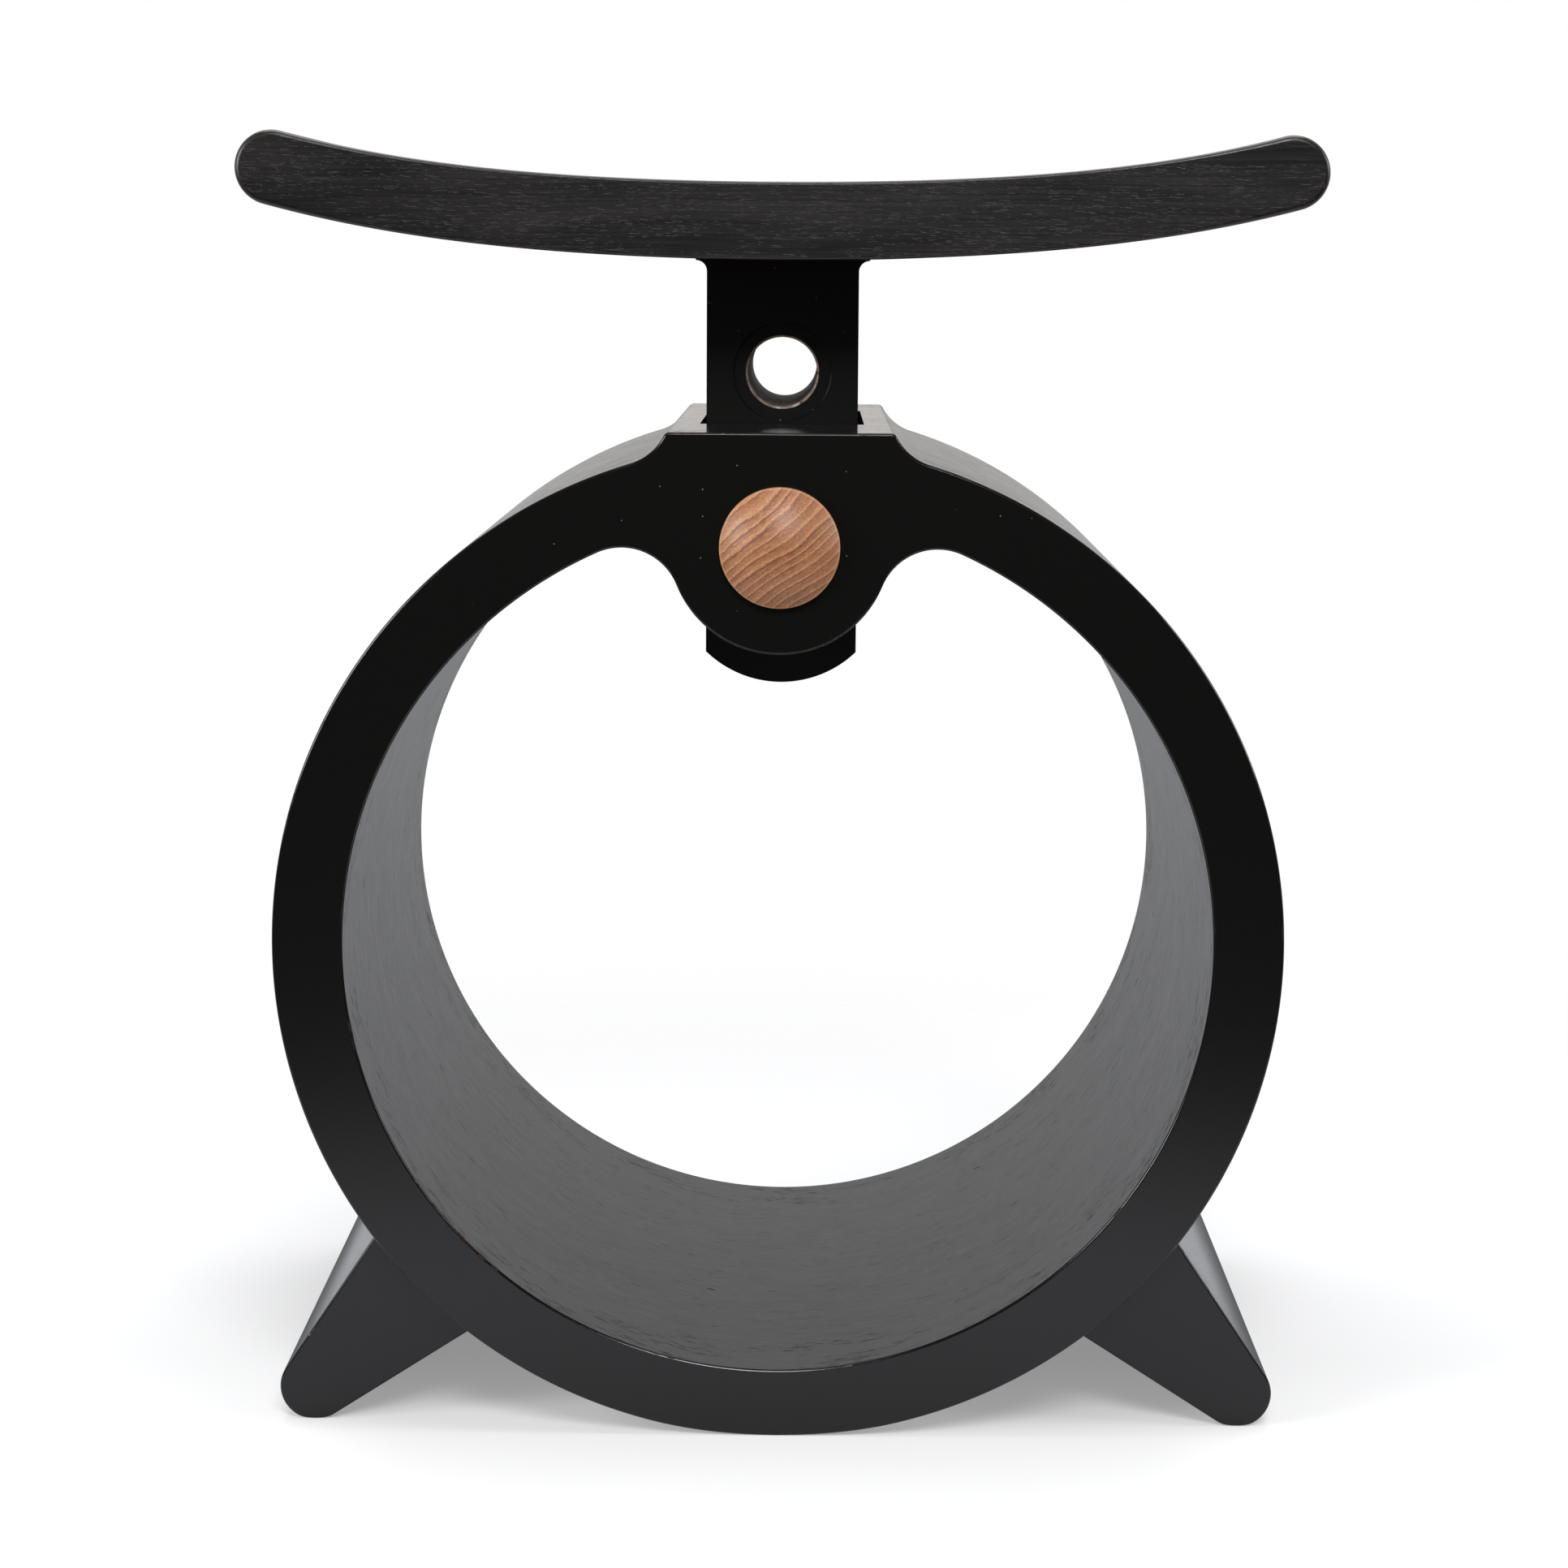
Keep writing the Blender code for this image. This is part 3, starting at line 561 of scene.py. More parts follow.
class NodeKit:
    """A tree of nodes in the making, with short calls for them."""

    def __init__(self, tree):
        self.nodes = tree.nodes
        self.links = tree.links

    def put(self, socket, value):
        if isinstance(value, bpy.types.NodeSocket):
            self.links.new(value, socket)
        elif hasattr(value, "__len__") and len(socket.default_value) == 4:
            socket.default_value = (*value, 1)
        else:
            socket.default_value = value

    def node(self, kind, inputs=None, **settings):
        made = self.nodes.new(kind)
        for key, value in settings.items():
            setattr(made, key, value)
        for key, value in (inputs or {}).items():
            self.put(made.inputs[key], value)
        return made

    def math(self, operation, *values, clamp=False):
        made = self.node("ShaderNodeMath", operation=operation, use_clamp=clamp)
        for socket, value in zip(made.inputs, values):
            self.put(socket, value)
        return made.outputs[0]

    def product(self, *values):
        result = values[0]
        for value in values[1:]:
            result = self.math("MULTIPLY", result, value)
        return result

    def weighted(self, value, weight, base, clamp=False):
        """A value times its weight, added to a base."""
        return self.math("MULTIPLY_ADD", value, weight, base, clamp=clamp)

    def less(self, value, amount):
        return self.math("SUBTRACT", value, amount)

    def most(self, first, second):
        return self.math("MAXIMUM", first, second)

    def magnitude(self, value):
        return self.math("ABSOLUTE", value)

    def distance(self, first, second):
        """How far off a point is that lies this far one way and this far across it."""
        squares = self.math("ADD", self.math("POWER", first, 2.0), self.math("POWER", second, 2.0))
        return self.math("SQRT", squares)

    def vector(self, x, y, z):
        return self.node("ShaderNodeCombineXYZ", {"X": x, "Y": y, "Z": z}).outputs[0]

    def stretched(self, grain, along, across, skew=0.0):
        """Grain coordinates as a vector, at so many repeats in a metre along and across the grain.

        A skew starts each row further along the grain than the last, so that marks don't line up.
        """
        u, v, w = grain
        row, layer = self.product(v, across), self.product(w, across)
        start = self.product(self.math("ADD", row, layer), skew)
        return self.vector(self.weighted(u, along, start), row, layer)

    def noise(self, vector, detail=3.0, roughness=0.55):
        made = self.node(
            "ShaderNodeTexNoise",
            {"Vector": vector, "Scale": 1.0, "Detail": detail, "Roughness": roughness},
        )
        return made.outputs["Fac"]

    def flecks(self, vector, size, amount, flat=False, core=0.45):
        """Small marks, one in some of the cells of a pattern: 1 in a mark's core and 0 outside it."""
        cells = self.node(
            "ShaderNodeTexVoronoi",
            {"Vector": vector, "Scale": 1.0},
            voronoi_dimensions="2D" if flat else "3D",
        )
        near = self.fade(cells.outputs["Distance"], size, size * core)
        pick = self.node("ShaderNodeSeparateColor", {0: cells.outputs["Color"]}).outputs[0]
        return self.product(near, self.fade(pick, 1 - amount, 1 - amount * FULL_MARKS))

    def marks(self, grain, along, across, size, amount, core=0.45):
        """Flecks in staggered rows along the grain."""
        rows = self.stretched(grain, along, across, skew=ROW_SKEW)
        return self.flecks(rows, size, amount, core=core)

    def fade(self, value, low, high):
        """0 at low, 1 at high, smooth between them."""
        made = self.node(
            "ShaderNodeMapRange",
            {"Value": value, "From Min": low, "From Max": high, "To Min": 0.0, "To Max": 1.0},
            interpolation_type="SMOOTHSTEP",
        )
        return made.outputs["Result"]

    def scale(self, value, low, high):
        """Takes a value from 0 to 1 to the range from low to high."""
        return self.weighted(value, high - low, low)

    def between(self, amount, first, second):
        """A number on the way from the first to the second."""
        made = self.node("ShaderNodeMix", {"Factor": amount, "A": first, "B": second})
        return made.outputs["Result"]

    def blend(self, amount, first, second):
        """A colour on the way from the first to the second; the numbers are its colour sockets."""
        made = self.node("ShaderNodeMix", {0: amount}, data_type="RGBA")
        self.put(made.inputs[6], first)
        self.put(made.inputs[7], second)
        return made.outputs[2]


class Finish(NodeKit):
    """A material in the making, with the place and facing of each point of its surface."""

    def __init__(self, name):
        self.material = bpy.data.materials.new(name)
        self.material.use_nodes = True
        super().__init__(self.material.node_tree)
        self.shader = self.nodes["Principled BSDF"]
        place = self.node("ShaderNodeTexCoord").outputs
        self.x, self.y, self.z = self.node("ShaderNodeSeparateXYZ", {0: place["Object"]}).outputs
        self.facing = self.node("ShaderNodeSeparateXYZ", {0: place["Normal"]}).outputs

    def reach(self, centre):
        """Distance from an axis along Y."""
        return self.distance(self.x, self.less(self.z, centre.y))

    def relief(self, height, depth, strength):
        made = self.node(
            "ShaderNodeBump", {"Height": height, "Distance": depth, "Strength": strength}
        )
        return made.outputs["Normal"]

    def set(self, **values):
        for key, value in values.items():
            self.put(self.shader.inputs[key.replace("_", " ").title()], value)
        return self.material


def round_grain(finish, centre_z, radius, from_top):
    """Grain that runs round the hoop; it is counted from the top or from the bottom."""
    up = finish.less(finish.z, centre_z)
    toward = up if from_top else finish.product(up, -1.0)
    turn = finish.math("ARCTAN2", finish.x, toward)
    if from_top:
        turn = finish.less(math.pi, turn)
    return finish.product(turn, radius), finish.distance(finish.x, up), finish.y


def slanted_grain(finish, slope):
    """Grain that runs along a slope in the XZ plane."""
    cosine, sine = math.cos(slope), math.sin(slope)
    along = finish.math("ADD", finish.product(finish.x, cosine), finish.product(finish.z, sine))
    across = finish.less(finish.product(finish.z, cosine), finish.product(finish.x, sine))
    return along, across, finish.y


def ebonise(finish, colours, grain, face_gloss, side_gloss, open_grain):
    """Black stain under a thin satin lacquer: grain, open pores, dust, and edges worn brown.

    open_grain is the share of the pores and streaks that the lacquer leaves to be seen on the sides.
    side_gloss is a number, or a socket where the gloss of the sides changes from place to place.
    """
    level = finish.magnitude(finish.facing[1])
    face = finish.fade(level, 0.90, 0.99)
    side = finish.less(1.0, face)
    rim = finish.product(finish.fade(level, 0.15, 0.45), side)

    fine = finish.noise(finish.stretched(grain, along=260, across=1500), detail=3.0, roughness=0.6)
    streaks = finish.noise(finish.stretched(grain, along=70, across=700), detail=4.0, roughness=0.68)
    patches = finish.noise(finish.stretched(grain, along=26, across=70), detail=4.0)
    ticks = finish.marks(grain, along=160, across=1700, size=0.36, amount=0.04, core=0.7)
    gouges = finish.marks(grain, along=110, across=260, size=0.20, amount=0.012, core=0.7)
    dashes = finish.marks(grain, along=190, across=1300, size=0.42, amount=0.45, core=0.7)
    near_rim = finish.fade(finish.magnitude(finish.y), TORN_LOW, TORN_HIGH)
    torn = finish.product(dashes, near_rim, finish.fade(patches, 0.50, 0.55))
    loose = finish.product(ticks, finish.fade(patches, 0.44, 0.50))
    pores = finish.most(gouges, finish.most(loose, torn))
    pores = finish.product(pores, side, open_grain)
    worn = finish.product(rim, finish.fade(patches, 0.50, 0.70), 0.6)
    cells = finish.vector(
        finish.product(finish.x, DUST_CELLS), finish.product(finish.z, DUST_CELLS), 0.0
    )
    specks = finish.flecks(cells, size=0.017, amount=0.30, flat=True)
    dust = finish.product(specks, face, finish.fade(finish.z, DUST_LOW, DUST_HIGH))

    colour = finish.blend(pores, colours.black, colours.pore)
    colour = finish.blend(worn, colour, colours.worn_edge)
    colour = finish.blend(dust, colour, colours.dust)

    grain_share = finish.scale(side, FACE_GRAIN, open_grain)
    uneven = finish.weighted(streaks, 0.20, finish.product(fine, 0.16))
    uneven = finish.weighted(patches, 0.06, uneven)
    mean = 0.21
    uneven = finish.product(finish.less(uneven, mean), grain_share)
    gloss = finish.between(side, face_gloss, finish.math("ADD", uneven, side_gloss))
    gloss = finish.between(rim, gloss, colours.rim_gloss)
    gloss = finish.weighted(pores, 0.60, gloss, clamp=True)
    flat_side = finish.product(grain_share, finish.less(1.0, rim))
    ridges = finish.product(finish.weighted(streaks, 0.7, fine), flat_side)
    height = finish.weighted(pores, -3.0, ridges)
    finish.set(base_color=colour, roughness=gloss, normal=finish.relief(height, 0.00012, 0.40))
    return colour, gloss


def mottled(finish, grain, gloss, spread):
    """Gloss that changes in long uneven patches."""
    patches = finish.noise(finish.stretched(grain, along=80, across=420), detail=5.0, roughness=0.72)
    mean = 0.45
    return finish.weighted(finish.less(patches, mean), spread, gloss)


def hoop_finish(plan, colours):
    """Black hoop, satin inside and shinier outside."""
    finish = Finish("black_hoop")
    grain = round_grain(finish, plan.centre.y, plan.inner_radius, from_top=False)
    wall = plan.sizes.hoop_wall
    outside = finish.fade(grain[1], plan.inner_radius + 0.3 * wall, plan.inner_radius + 0.7 * wall)
    outer_gloss = mottled(finish, grain, colours.outer_gloss, spread=0.35)
    gloss = finish.between(outside, colours.side_gloss, outer_gloss)
    ebonise(finish, colours, grain, colours.face_gloss, gloss, open_grain=1.0)
    return finish.material


def head_finish(plan, colours):
    """Black head that goes on from the hoop's outside, with a polished flat top."""
    finish = Finish("black_head")
    grain = round_grain(finish, plan.centre.y, plan.inner_radius, from_top=True)
    on_top = finish.fade(finish.facing[2], 0.95, 0.995)
    outer_gloss = mottled(finish, grain, colours.outer_gloss, spread=0.35)
    top_gloss = mottled(finish, grain, colours.head_gloss, spread=0.2)
    gloss = finish.between(on_top, outer_gloss, top_gloss)
    ebonise(finish, colours, grain, colours.face_gloss, gloss, open_grain=0.9)
    return finish.material


def foot_finish(colours, name, slope):
    """Black wood that is scuffed dull towards the tip of the foot."""
    finish = Finish(name)
    grain = slanted_grain(finish, slope)
    clean = finish.fade(finish.z, SCUFF_LOW, SCUFF_HIGH)
    gloss = finish.scale(clean, colours.scuffed_gloss, colours.foot_gloss)
    ebonise(finish, colours, grain, colours.face_gloss, gloss, open_grain=0.6)
    return finish.material


def post_finish(plan, colours):
    """Black post, worn to bare brown wood inside its peg holes, with scratches at their mouths."""
    finish = Finish("black_post")
    grain = (finish.z, finish.x, finish.y)
    colour, gloss = ebonise(
        finish, colours, grain, colours.post_gloss, colours.side_gloss, open_grain=0.5
    )
    mouth = plan.bore_radius + plan.sizes.hole_round
    mouth_edge = 0.0004
    inside = 0.0
    for centre in (plan.peg_centre, plan.upper_hole):
        bore = finish.fade(finish.reach(centre), mouth, mouth - mouth_edge)
        inside = finish.most(inside, bore)
    up = finish.less(finish.z, plan.upper_hole.y)
    turn = finish.math("ARCTAN2", finish.x, up)
    face = -plan.sizes.post_depth / 2
    scored_depth, scored_start = 0.014, 0.001
    at_mouth = finish.product(
        inside,
        finish.fade(finish.y, face + scored_depth, face + scored_start),
        finish.fade(up, -0.1 * plan.bore_radius, -0.6 * plan.bore_radius),
    )
    worn_patches = finish.vector(finish.product(turn, 4.0), finish.product(finish.y, 90.0), 0.0)
    scored_rings = finish.vector(finish.product(turn, 3.5), finish.product(finish.y, 950.0), 3.0)
    rubbed = finish.noise(worn_patches, detail=5.0)
    scored = finish.noise(scored_rings, detail=4.0, roughness=0.65)
    bare = finish.product(inside, finish.fade(rubbed, 0.28, 0.52))
    scratches = finish.product(at_mouth, finish.fade(scored, 0.50, 0.62))
    colour = finish.blend(bare, colour, colours.bare_bore)
    colour = finish.blend(scratches, colour, colours.scratch)
    gloss = finish.weighted(inside, 0.30, gloss, clamp=True)
    return finish.set(base_color=colour, roughness=gloss)


def seat_finish(colours):
    """Open-grained black seat with pale pores along its length, rubbed brown along its edges."""
    finish = Finish("black_seat")
    level = finish.magnitude(finish.facing[1])
    rim = finish.product(finish.fade(level, 0.10, 0.35), finish.fade(level, 0.995, 0.90))
    straight = (finish.x, finish.z, finish.y)
    wave = finish.noise(finish.stretched(straight, along=16, across=16), detail=1.0)
    wave_depth = 0.003
    grain = (finish.x, finish.weighted(wave, wave_depth, finish.z), finish.y)
    streaks = finish.noise(finish.stretched(grain, along=16, across=760), detail=5.0, roughness=0.62)
    drift = finish.noise(finish.stretched(grain, along=12, across=90), detail=3.0)
    long_pores = finish.marks(grain, along=180, across=2500, size=0.36, amount=0.26)
    short_pores = finish.marks(grain, along=380, across=3200, size=0.36, amount=0.30)
    pores = finish.product(finish.most(long_pores, short_pores), finish.fade(drift, 0.30, 0.60))
    figure = finish.weighted(drift, 0.5, finish.product(streaks, 0.5))
    colour = finish.blend(finish.fade(figure, 0.36, 0.66), colours.seat_black, colours.seat_brown)
    colour = finish.blend(pores, colour, colours.seat_pore)
    colour = finish.blend(finish.product(rim, 0.8), colour, colours.seat_rim)
    on_top = finish.magnitude(finish.facing[2])
    mean = 0.5
    uneven = finish.product(finish.less(figure, mean), finish.scale(on_top, 0.45, 1.1))
    gloss = finish.math("ADD", uneven, colours.seat_gloss)
    gloss = finish.between(rim, gloss, colours.seat_rim_gloss)
    height = finish.weighted(pores, -1.5, streaks)
    height = finish.product(height, finish.less(1.0, rim))
    return finish.set(
        base_color=colour, roughness=gloss, normal=finish.relief(height, 0.00012, 0.5)
    )


def peg_finish(plan, colours):
    """Ring-porous brown wood: slanting growth rings, each a row of pale pores beside a dark line, with a
    painted highlight round the rim of the head.
    """
    finish = Finish("brown_peg")
    grain = slanted_grain(finish, PEG_GRAIN)
    along, across = grain[:2]
    level = finish.less(across, plan.peg_centre.y * math.cos(PEG_GRAIN))
    run = finish.less(along, plan.peg_centre.y * math.sin(PEG_GRAIN))
    fanning, sway_length, sway_depth = -4.0, 0.032, 0.0004
    level = finish.product(level, finish.weighted(run, fanning, 1.0))
    sway = finish.math("SINE", finish.product(run, FULL_TURN / sway_length))
    level = finish.weighted(sway, sway_depth, level)
    wander = finish.noise(finish.stretched(grain, along=34, across=60), detail=1.5)
    ragged = finish.noise(finish.stretched(grain, along=620, across=900), detail=2.0)
    rings_per_metre, widening = 309.0, -1750.0
    wider = finish.product(finish.math("POWER", level, 2.0), widening)
    rings = finish.weighted(level, rings_per_metre, wider)
    rings = finish.weighted(wander, 1.5, rings)
    spacing = finish.noise(finish.vector(finish.product(level, 170.0), 7.3, 0.0), detail=2.0)
    rings = finish.weighted(spacing, 1.3, rings)
    phase = finish.math("FRACT", finish.weighted(ragged, 0.22, rings))
    late_wood = finish.product(finish.fade(phase, 0.30, 0.95), finish.fade(phase, 1.0, 0.985))
    dark_line = finish.product(finish.fade(phase, 0.74, 0.92), finish.fade(phase, 1.0, 0.97))
    boldness = finish.noise(finish.vector(finish.product(level, 260.0), finish.product(run, 30.0), 2.0))
    dark_line = finish.product(dark_line, finish.scale(finish.fade(boldness, 0.32, 0.60), 0.25, 1.0))
    pale_row = finish.product(finish.fade(phase, 0.0, 0.05), finish.fade(phase, 0.42, 0.18))
    dots = finish.marks(grain, along=2100, across=2600, size=0.50, amount=0.80)
    pale_row = finish.product(pale_row, finish.scale(dots, 0.22, 0.95))
    pits = finish.marks(grain, along=1500, across=2300, size=0.30, amount=0.30)
    pits = finish.product(pits, finish.fade(phase, 0.26, 0.10))
    fibre = finish.noise(finish.stretched(grain, along=420, across=3000), detail=4.0, roughness=0.7)
    pale_fibre = finish.product(finish.fade(fibre, 0.46, 0.76), 0.65)
    dark_fibre = finish.product(finish.fade(fibre, 0.52, 0.26), 0.55)
    tone = finish.noise(finish.stretched(grain, along=50, across=110), detail=2.0)
    half = plan.sizes.peg_head / 2
    # a pale ring painted just inside the rim of the head stands in for a highlight on its edge
    highlight_start, highlight_end = 0.0009, 0.0002
    painted_rim_highlight = finish.fade(finish.reach(plan.peg_centre), half - highlight_start, half - highlight_end)

    colour = finish.blend(finish.fade(tone, 0.30, 0.72), colours.peg_wood, colours.peg_mid)
    for amount, shade in (
        (finish.product(late_wood, 0.30), colours.peg_dark),
        (pale_fibre, colours.peg_light),
        (dark_fibre, colours.peg_dark),
        (finish.product(dark_line, 0.72), colours.peg_dark),
        (pale_row, colours.peg_light),
        (pits, colours.peg_pit),
        # painted highlight round the rim of the head
        (finish.product(painted_rim_highlight, 0.40), colours.peg_light),
    ):
        colour = finish.blend(amount, colour, shade)
    height = finish.weighted(pits, -1.0, finish.product(fibre, 0.4))
    height = finish.weighted(dark_line, -0.25, height)
    return finish.set(
        base_color=colour,
        roughness=finish.scale(fibre, 0.34, 0.54),
        normal=finish.relief(height, 0.0001, 0.35),
    )


def dowel_finish(colours):
    """Plain pale hardwood with short rays."""
    finish = Finish("plain_dowel")
    grain = (finish.z, finish.x, finish.y)
    fibre = finish.noise(finish.stretched(grain, along=60, across=900), detail=3.0)
    rays = finish.flecks(finish.stretched(grain, along=240, across=1300), size=0.3, amount=0.4)
    colour = finish.blend(fibre, colours.dowel, colours.dowel_shade)
    colour = finish.blend(finish.product(rays, 0.4), colour, colours.dowel_ray)
    return finish.set(
        base_color=colour,
        roughness=finish.scale(fibre, 0.5, 0.7),
        normal=finish.relief(fibre, 0.0001, 0.3),
    )


# Operators


def shared_settings():
    """The plan, the sizes and the colours that the operators share."""
    scene = bpy.context.scene
    return StoolPlan(scene.stool_sizes), scene.stool_sizes, scene.stool_finishes


class STOOL_OT_hoop(Operator):
    """Makes the bent hoop"""

    bl_idname = "stool.hoop"
    bl_label = "Hoop"

    def execute(self, context):
        plan, sizes, colours = shared_settings()

        def outside_joint(point, face):
            return 0.0 if plan.in_joint(point) else 1.0

        hoop = prism("bent_hoop", plan.hoop(), plan.front, -plan.front)
        round_rims(hoop, sizes.edge_round, outside_joint)
        material = hoop_finish(plan, colours)
        hand_over(hoop, "bent_hoop", material, ["hoop"], STOOL_BODY)
        return {"FINISHED"}


class STOOL_OT_head(Operator):
    """Makes the front and rear cheeks of the head and the blocks between them"""

    bl_idname = "stool.head"
    bl_label = "Head"

    def execute(self, context):
        plan, sizes, colours = shared_settings()
        material = head_finish(plan, colours)
        mortise_front = plan.front + sizes.cheek_depth

        def on_show(side):
            def pick(point, face):
                return 1.0 if face * side > 0 and not plan.in_joint(point) else 0.0

            return pick

        for place, side in (("front", -1), ("rear", 1)):
            face, mortise_face = -side * plan.front, -side * mortise_front
            cheek = prism(f"head_{place}", plan.head(), *sorted((face, mortise_face)))
            round_rims(cheek, sizes.edge_round, on_show(side))
            start, past = face - side * sizes.hoop_depth / 2, face + side * TOOL_PAST
            mouth = quarter_round(plan.bore_radius, face, sizes.hole_round, side)
            profile = [(0, start), (plan.bore_radius, start), *mouth]
            profile += [(mouth[-1][0], past), (0, past)]
            cut(cheek, turned("bore", profile, plan.peg_centre))
            hand_over(cheek, f"head_{place}", material, [f"head_{place}_cheek"], STOOL_BODY)
        for place, side in (("left", -1), ("right", 1)):
            outline = clipped(plan.head(), Vector((side, 0)), plan.mortise_half_width)
            block = prism(f"head_{place}", outline, mortise_front, -mortise_front)
            hand_over(block, f"head_{place}", material, [f"head_{place}_block"], STOOL_BODY)
        return {"FINISHED"}


class STOOL_OT_feet(Operator):
    """Makes the wedge feet on both sides of the hoop"""

    bl_idname = "stool.feet"
    bl_label = "Feet"

    def execute(self, context):
        plan, sizes, colours = shared_settings()

        def free_rim(point, face):
            on_hoop = plan.from_centre(point).length < sizes.hoop_radius + NEAR
            return sizes.seam / sizes.edge_round if on_hoop else 1.0

        for place, side in (("left", -1), ("right", 1)):
            outline = plan.foot() if side > 0 else mirrored(plan.foot())
            foot = prism(f"foot_{place}", outline, -sizes.foot_depth / 2, sizes.foot_depth / 2)
            round_rims(foot, sizes.edge_round, free_rim)
            material = foot_finish(colours, f"black_foot_{place}", -side * sizes.foot_slope)
            hand_over(foot, f"foot_{place}", material, [f"{place}_foot"], STOOL_BODY)
        return {"FINISHED"}


class STOOL_OT_post(Operator):
    """Makes the post with its peg holes"""

    bl_idname = "stool.post"
    bl_label = "Post"

    def execute(self, context):
        plan, sizes, colours = shared_settings()
        face = -sizes.post_depth / 2

        def below_seat(point, side):
            return 1.0 if point.z < plan.seat_underside - sizes.flare_radius - sizes.flare_lip else 0.0

        post = prism("seat_post", plan.post(), face, -face)
        round_rims(post, sizes.edge_round, below_seat)
        past = sizes.dish_depth + TOOL_PAST
        dish = sizes.dish_width / 2
        for centre in (plan.peg_centre, plan.upper_hole):
            floor = face + sizes.dish_depth
            front_mouth = quarter_round(plan.bore_radius, floor, sizes.hole_round, -1)
            rear_mouth = quarter_round(plan.bore_radius, -face, sizes.hole_round, 1)
            profile = [(0, face - past), (dish, face - past), (dish, face - TOOL_LIP)]
            profile += [(dish - sizes.dish_depth / 2, floor)]
            profile += list(reversed(front_mouth)) + rear_mouth
            profile += [(rear_mouth[-1][0], past - face), (0, past - face)]
            cut(post, turned("peg_hole", profile, centre))
        hand_over(post, "seat_post", post_finish(plan, colours), ["post"], STOOL_BODY)
        return {"FINISHED"}


class STOOL_OT_seat(Operator):
    """Makes the dished seat"""

    bl_idname = "stool.seat"
    bl_label = "Seat"

    def execute(self, context):
        plan, sizes, colours = shared_settings()
        least = sizes.seat_edge_round / sizes.seat_end_round
        swiftness = 6

        def fuller_at_ends(point, face):
            along = min(1.0, abs(point.x) / plan.seat_reach)
            return least + (1 - least) * along**swiftness

        seat = prism("seat_plank", plan.seat(), -sizes.seat_depth / 2, sizes.seat_depth / 2)
        round_rims(seat, sizes.seat_end_round, fuller_at_ends)
        hand_over(seat, "seat_plank", seat_finish(colours), ["seat_board"], STOOL_BODY)
        return {"FINISHED"}


class STOOL_OT_peg(Operator):
    """Makes the turned peg with its domed head"""

    bl_idname = "stool.peg"
    bl_label = "Peg"

    def execute(self, context):
        plan, sizes, colours = shared_settings()
        head, shank = sizes.peg_head / 2, sizes.peg_shank / 2
        crown = PEG_LOW.y
        seat = plan.front - sizes.bore_room
        brow = plan.front - sizes.peg_rim
        rise = brow - crown
        dome = (head**2 + rise**2) / (2 * rise)
        small = sizes.peg_rim_round
        brim = math.asin((head - small) / (dome - small))
        brim_depth = crown + dome - (dome - small) * math.cos(brim)
        profile = []
        for i in range(DOME_STEPS + 1):
            turn = brim * i / DOME_STEPS
            profile.append((dome * math.sin(turn), crown + dome * (1 - math.cos(turn))))
        for i in range(1, EDGE_STEPS + 1):
            turn = brim + (QUARTER - brim) * i / EDGE_STEPS
            profile.append((head - small + small * math.sin(turn), brim_depth - small * math.cos(turn)))
        ease = sizes.peg_seat_chamfer
        profile += [(head, seat - ease), (head - ease, seat), (shank, seat)]
        tip, chamfer = PEG_HIGH.y, sizes.peg_tip_chamfer
        profile += [(shank, tip - chamfer), (shank - chamfer, tip), (0, tip)]
        peg = turned("turned_peg", profile, plan.peg_centre)
        hand_over(peg, "turned_peg", peg_finish(plan, colours), ["height_peg"], PEG_BODY)
        return {"FINISHED"}


class STOOL_OT_dowels(Operator):
    """Gives the hidden dowels and tenons their wood"""

    bl_idname = "stool.dowels"
    bl_label = "Dowels and tenons"

    def execute(self, context):
        material = dowel_finish(context.scene.stool_finishes)
        for name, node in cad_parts.items():
            if "dowel" in name or "tenon" in name:
                node.data.materials.clear()
                node.data.materials.append(material)
        return {"FINISHED"}


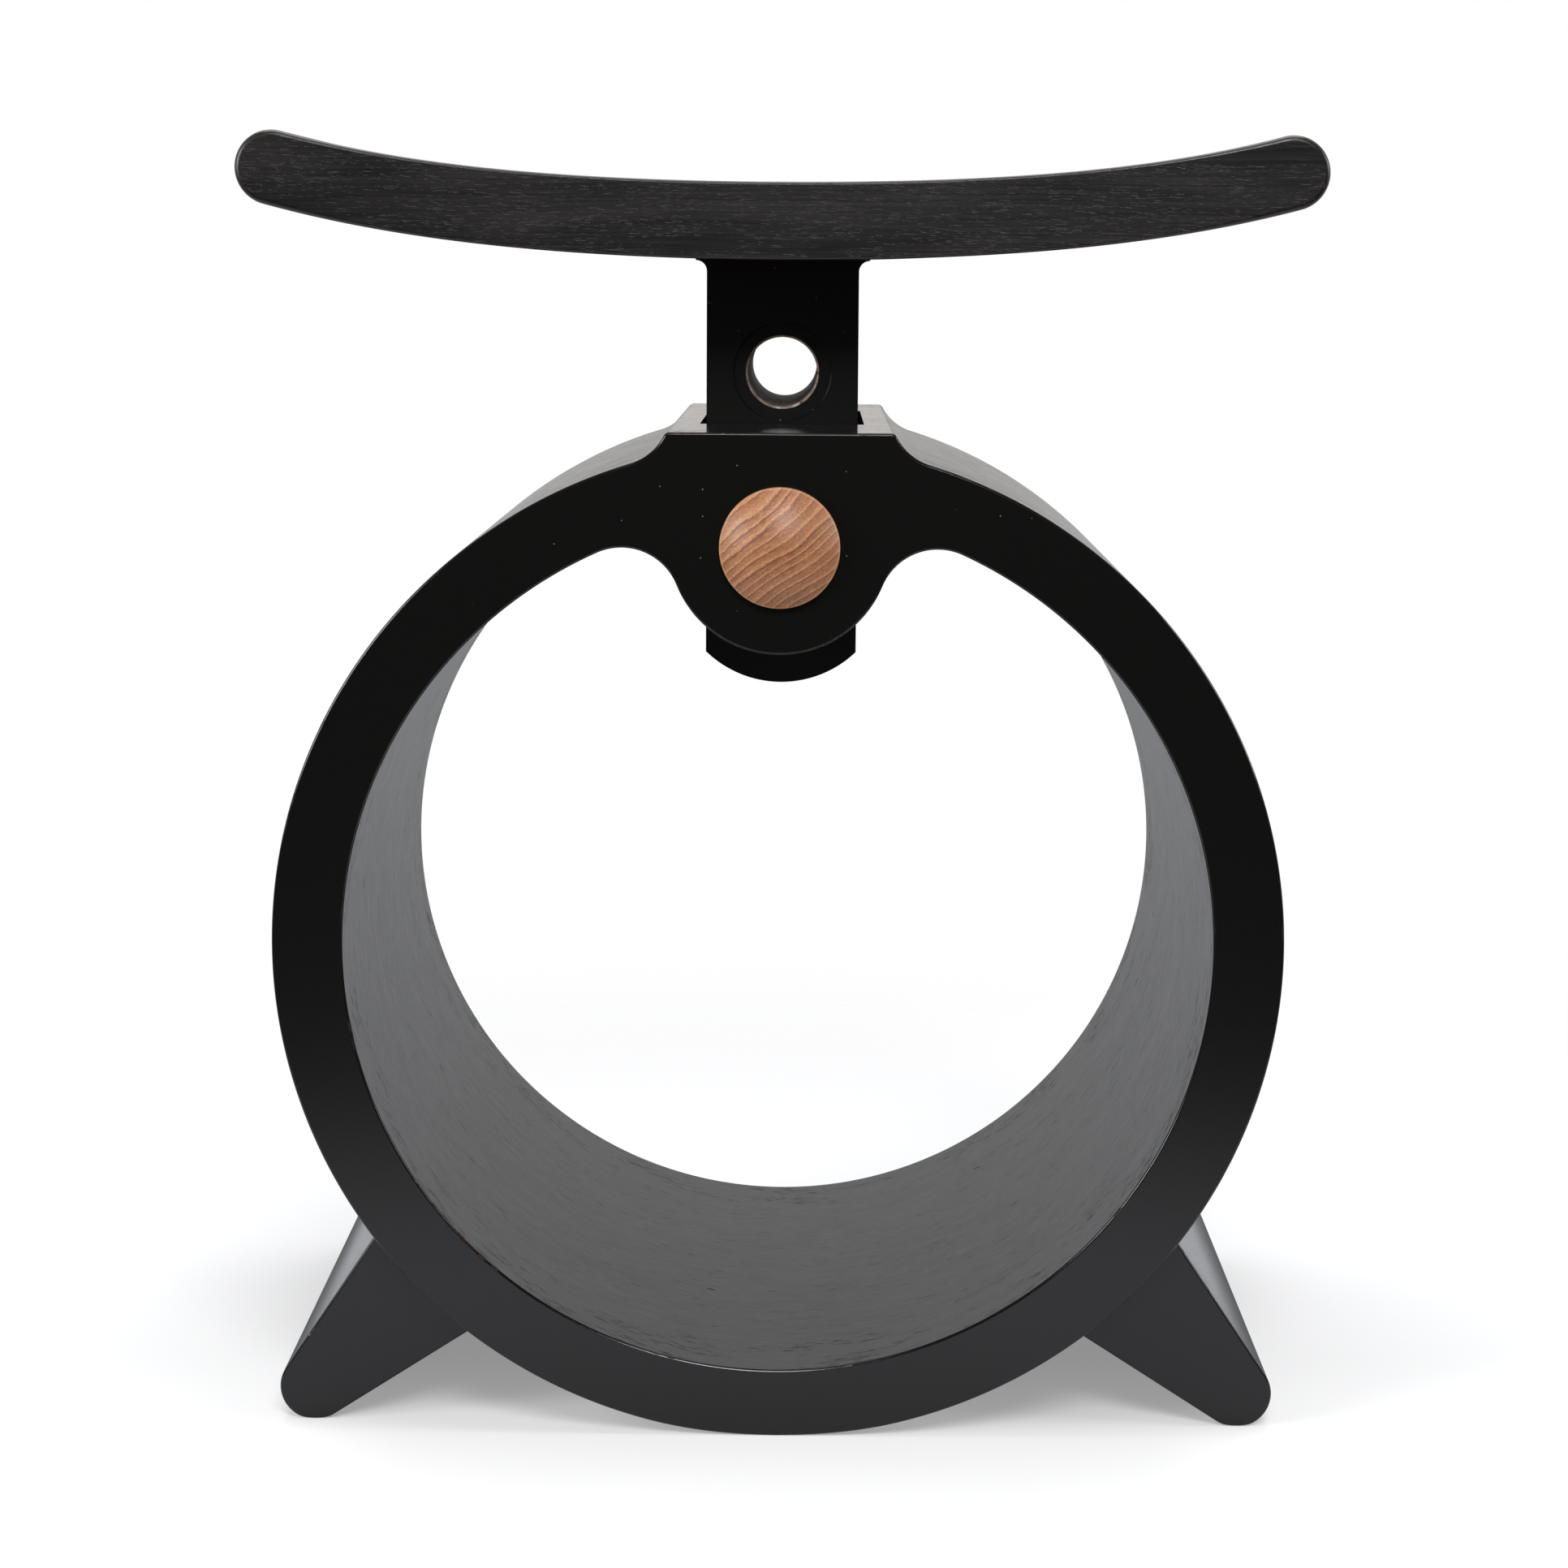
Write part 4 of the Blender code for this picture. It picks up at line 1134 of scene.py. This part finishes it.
class STOOL_OT_stage(Operator):
    """Sets up the floor, the light and the camera"""

    bl_idname = "stool.stage"
    bl_label = "Studio"

    def execute(self, context):
        stage = context.scene.stool_stage
        self.lay_floor(stage)
        self.light_world(stage)
        self.hang_softboxes(stage)
        self.set_camera(stage)
        context.scene.view_settings.view_transform = "Standard"
        return {"FINISHED"}

    def lay_floor(self, stage):
        """A pale disc that fades into the white studio at its rim. To the camera it glows to lift its
        shadows, more so in front of the stool, as painted fill light; black faces mirror a darker, bluer
        copy of it that carries part of that glow, as a painted reflection.
        """
        shape = bmesh.new()
        bmesh.ops.create_circle(shape, cap_ends=True, radius=stage.floor_far, segments=128)
        mesh = bpy.data.meshes.new("studio_floor")
        shape.to_mesh(mesh)
        shape.free()
        floor = add_piece("studio_floor", mesh)
        finish = Finish("pale_floor")
        distance = finish.distance(finish.x, finish.y)
        rays = finish.node("ShaderNodeLightPath").outputs
        mirrored_share = finish.product(rays["Is Glossy Ray"], stage.mirrored_lift)
        seen = finish.most(rays["Is Camera Ray"], mirrored_share)
        # painted fill light: the floor glows to lighten its shadows, rising towards the front of the stool
        lift_start, lift_end = -0.02, -0.12
        in_front = finish.fade(finish.y, lift_start, lift_end)
        lift = finish.scale(in_front, stage.floor_lift, stage.front_lift)
        finish.set(
            # painted reflection: glossy rays see a darker, bluer floor than the camera does
            base_color=finish.blend(rays["Is Glossy Ray"], stage.floor_colour, stage.floor_mirrored),
            roughness=0.9,
            alpha=finish.fade(distance, stage.floor_far, stage.floor_near),
            emission_strength=finish.product(seen, lift),
        )
        finish.shader.inputs["Emission Color"].default_value = (1, 1, 1, 1)
        finish.shader.inputs["Specular IOR Level"].default_value = 0.0
        mesh.materials.append(finish.material)

    def light_world(self, stage):
        """White all round to the camera; to the stool, bright behind and dark in front.

        The light is warm near eye level, close to straight behind the stool.
        """
        world = bpy.data.worlds.new("studio")
        bpy.context.scene.world = world
        world.use_nodes = True
        sky = NodeKit(world.node_tree)
        way = sky.node("ShaderNodeTexCoord").outputs["Generated"]
        x, y, z = sky.node("ShaderNodeSeparateXYZ", {0: way}).outputs
        seen = sky.node("ShaderNodeLightPath").outputs["Is Camera Ray"]
        dark_end, bright_end = -0.35, 0.25
        warm_height, plain_height = 0.04, 0.11
        warm_width, plain_width = 0.11, 0.16
        behind = sky.fade(y, dark_end, bright_end)
        light = sky.scale(behind, stage.front_light, stage.back_light)
        off_level = sky.fade(sky.magnitude(z), warm_height, plain_height)
        aside = sky.fade(sky.magnitude(x), warm_width, plain_width)
        mood = sky.blend(sky.most(off_level, aside), stage.horizon_tint, stage.sky_tint)
        background = sky.nodes["Background"].inputs
        sky.put(background["Strength"], sky.between(seen, light, 1.0))
        sky.put(background["Color"], sky.blend(seen, mood, (1, 1, 1)))

    def hang_softboxes(self, stage):
        target = Vector((0, 0, 0.25))
        for name, place, size, watts in (
            ("top_softbox", Vector((0.0, 0.25, 1.7)), 1.3, stage.top_power),
            ("left_softbox", Vector((-1.62, -1.00, 0.85)), 0.8, stage.left_power),
            ("front_softbox", Vector((0.20, -1.75, 1.60)), 0.8, stage.front_power),
            ("right_softbox", Vector((1.80, -0.30, 0.90)), 0.8, stage.right_power),
        ):
            lamp = bpy.data.lights.new(name, "AREA")
            lamp.shape = "SQUARE"
            lamp.size = size
            lamp.energy = watts
            holder = bpy.data.objects.new(name, lamp)
            holder.location = place
            holder.rotation_euler = (target - place).to_track_quat("-Z", "Y").to_euler()
            bpy.context.scene.collection.objects.link(holder)

    def set_camera(self, stage):
        pitch, yaw, roll = stage.camera_pitch, stage.camera_yaw, stage.camera_roll
        ahead = Vector(
            (math.sin(yaw) * math.cos(pitch), math.cos(yaw) * math.cos(pitch), -math.sin(pitch))
        )
        level = Vector((math.cos(yaw), -math.sin(yaw), 0))
        upright = level.cross(ahead)
        right = math.cos(roll) * level + math.sin(roll) * upright
        up = math.cos(roll) * upright - math.sin(roll) * level
        lens = bpy.data.cameras.new("camera")
        lens.lens = stage.camera_lens
        camera = bpy.data.objects.new("camera", lens)
        bpy.context.scene.collection.objects.link(camera)
        turn = Matrix((right, up, -ahead)).transposed().to_4x4()
        camera.matrix_world = Matrix.Translation(stage.camera_place) @ turn
        bpy.context.scene.camera = camera


class STOOL_PT_sidebar(Panel):
    """Lists the stool's pieces and the studio"""

    bl_label = "Hoop Stool"
    bl_space_type = "VIEW_3D"
    bl_region_type = "UI"
    bl_category = "Hoop Stool"

    def draw(self, context):
        for operator in MAKERS:
            self.layout.operator(operator.bl_idname)


MAKERS = (
    STOOL_OT_hoop,
    STOOL_OT_head,
    STOOL_OT_feet,
    STOOL_OT_post,
    STOOL_OT_seat,
    STOOL_OT_peg,
    STOOL_OT_dowels,
    STOOL_OT_stage,
)
GROUPS = {
    "stool_sizes": StoolSizes,
    "stool_finishes": StoolFinishes,
    "stool_stage": StoolStage,
}


def register():
    for part in (*GROUPS.values(), *MAKERS, STOOL_PT_sidebar):
        bpy.utils.register_class(part)
    for name, group in GROUPS.items():
        setattr(bpy.types.Scene, name, PointerProperty(type=group))


def unregister():
    for name in GROUPS:
        delattr(bpy.types.Scene, name)
    for part in reversed((*GROUPS.values(), *MAKERS, STOOL_PT_sidebar)):
        bpy.utils.unregister_class(part)


def main():
    register()
    bpy.ops.stool.hoop()
    bpy.ops.stool.head()
    bpy.ops.stool.feet()
    bpy.ops.stool.post()
    bpy.ops.stool.seat()
    bpy.ops.stool.peg()
    bpy.ops.stool.dowels()
    bpy.ops.stool.stage()


if __name__ == "__main__":
    main()
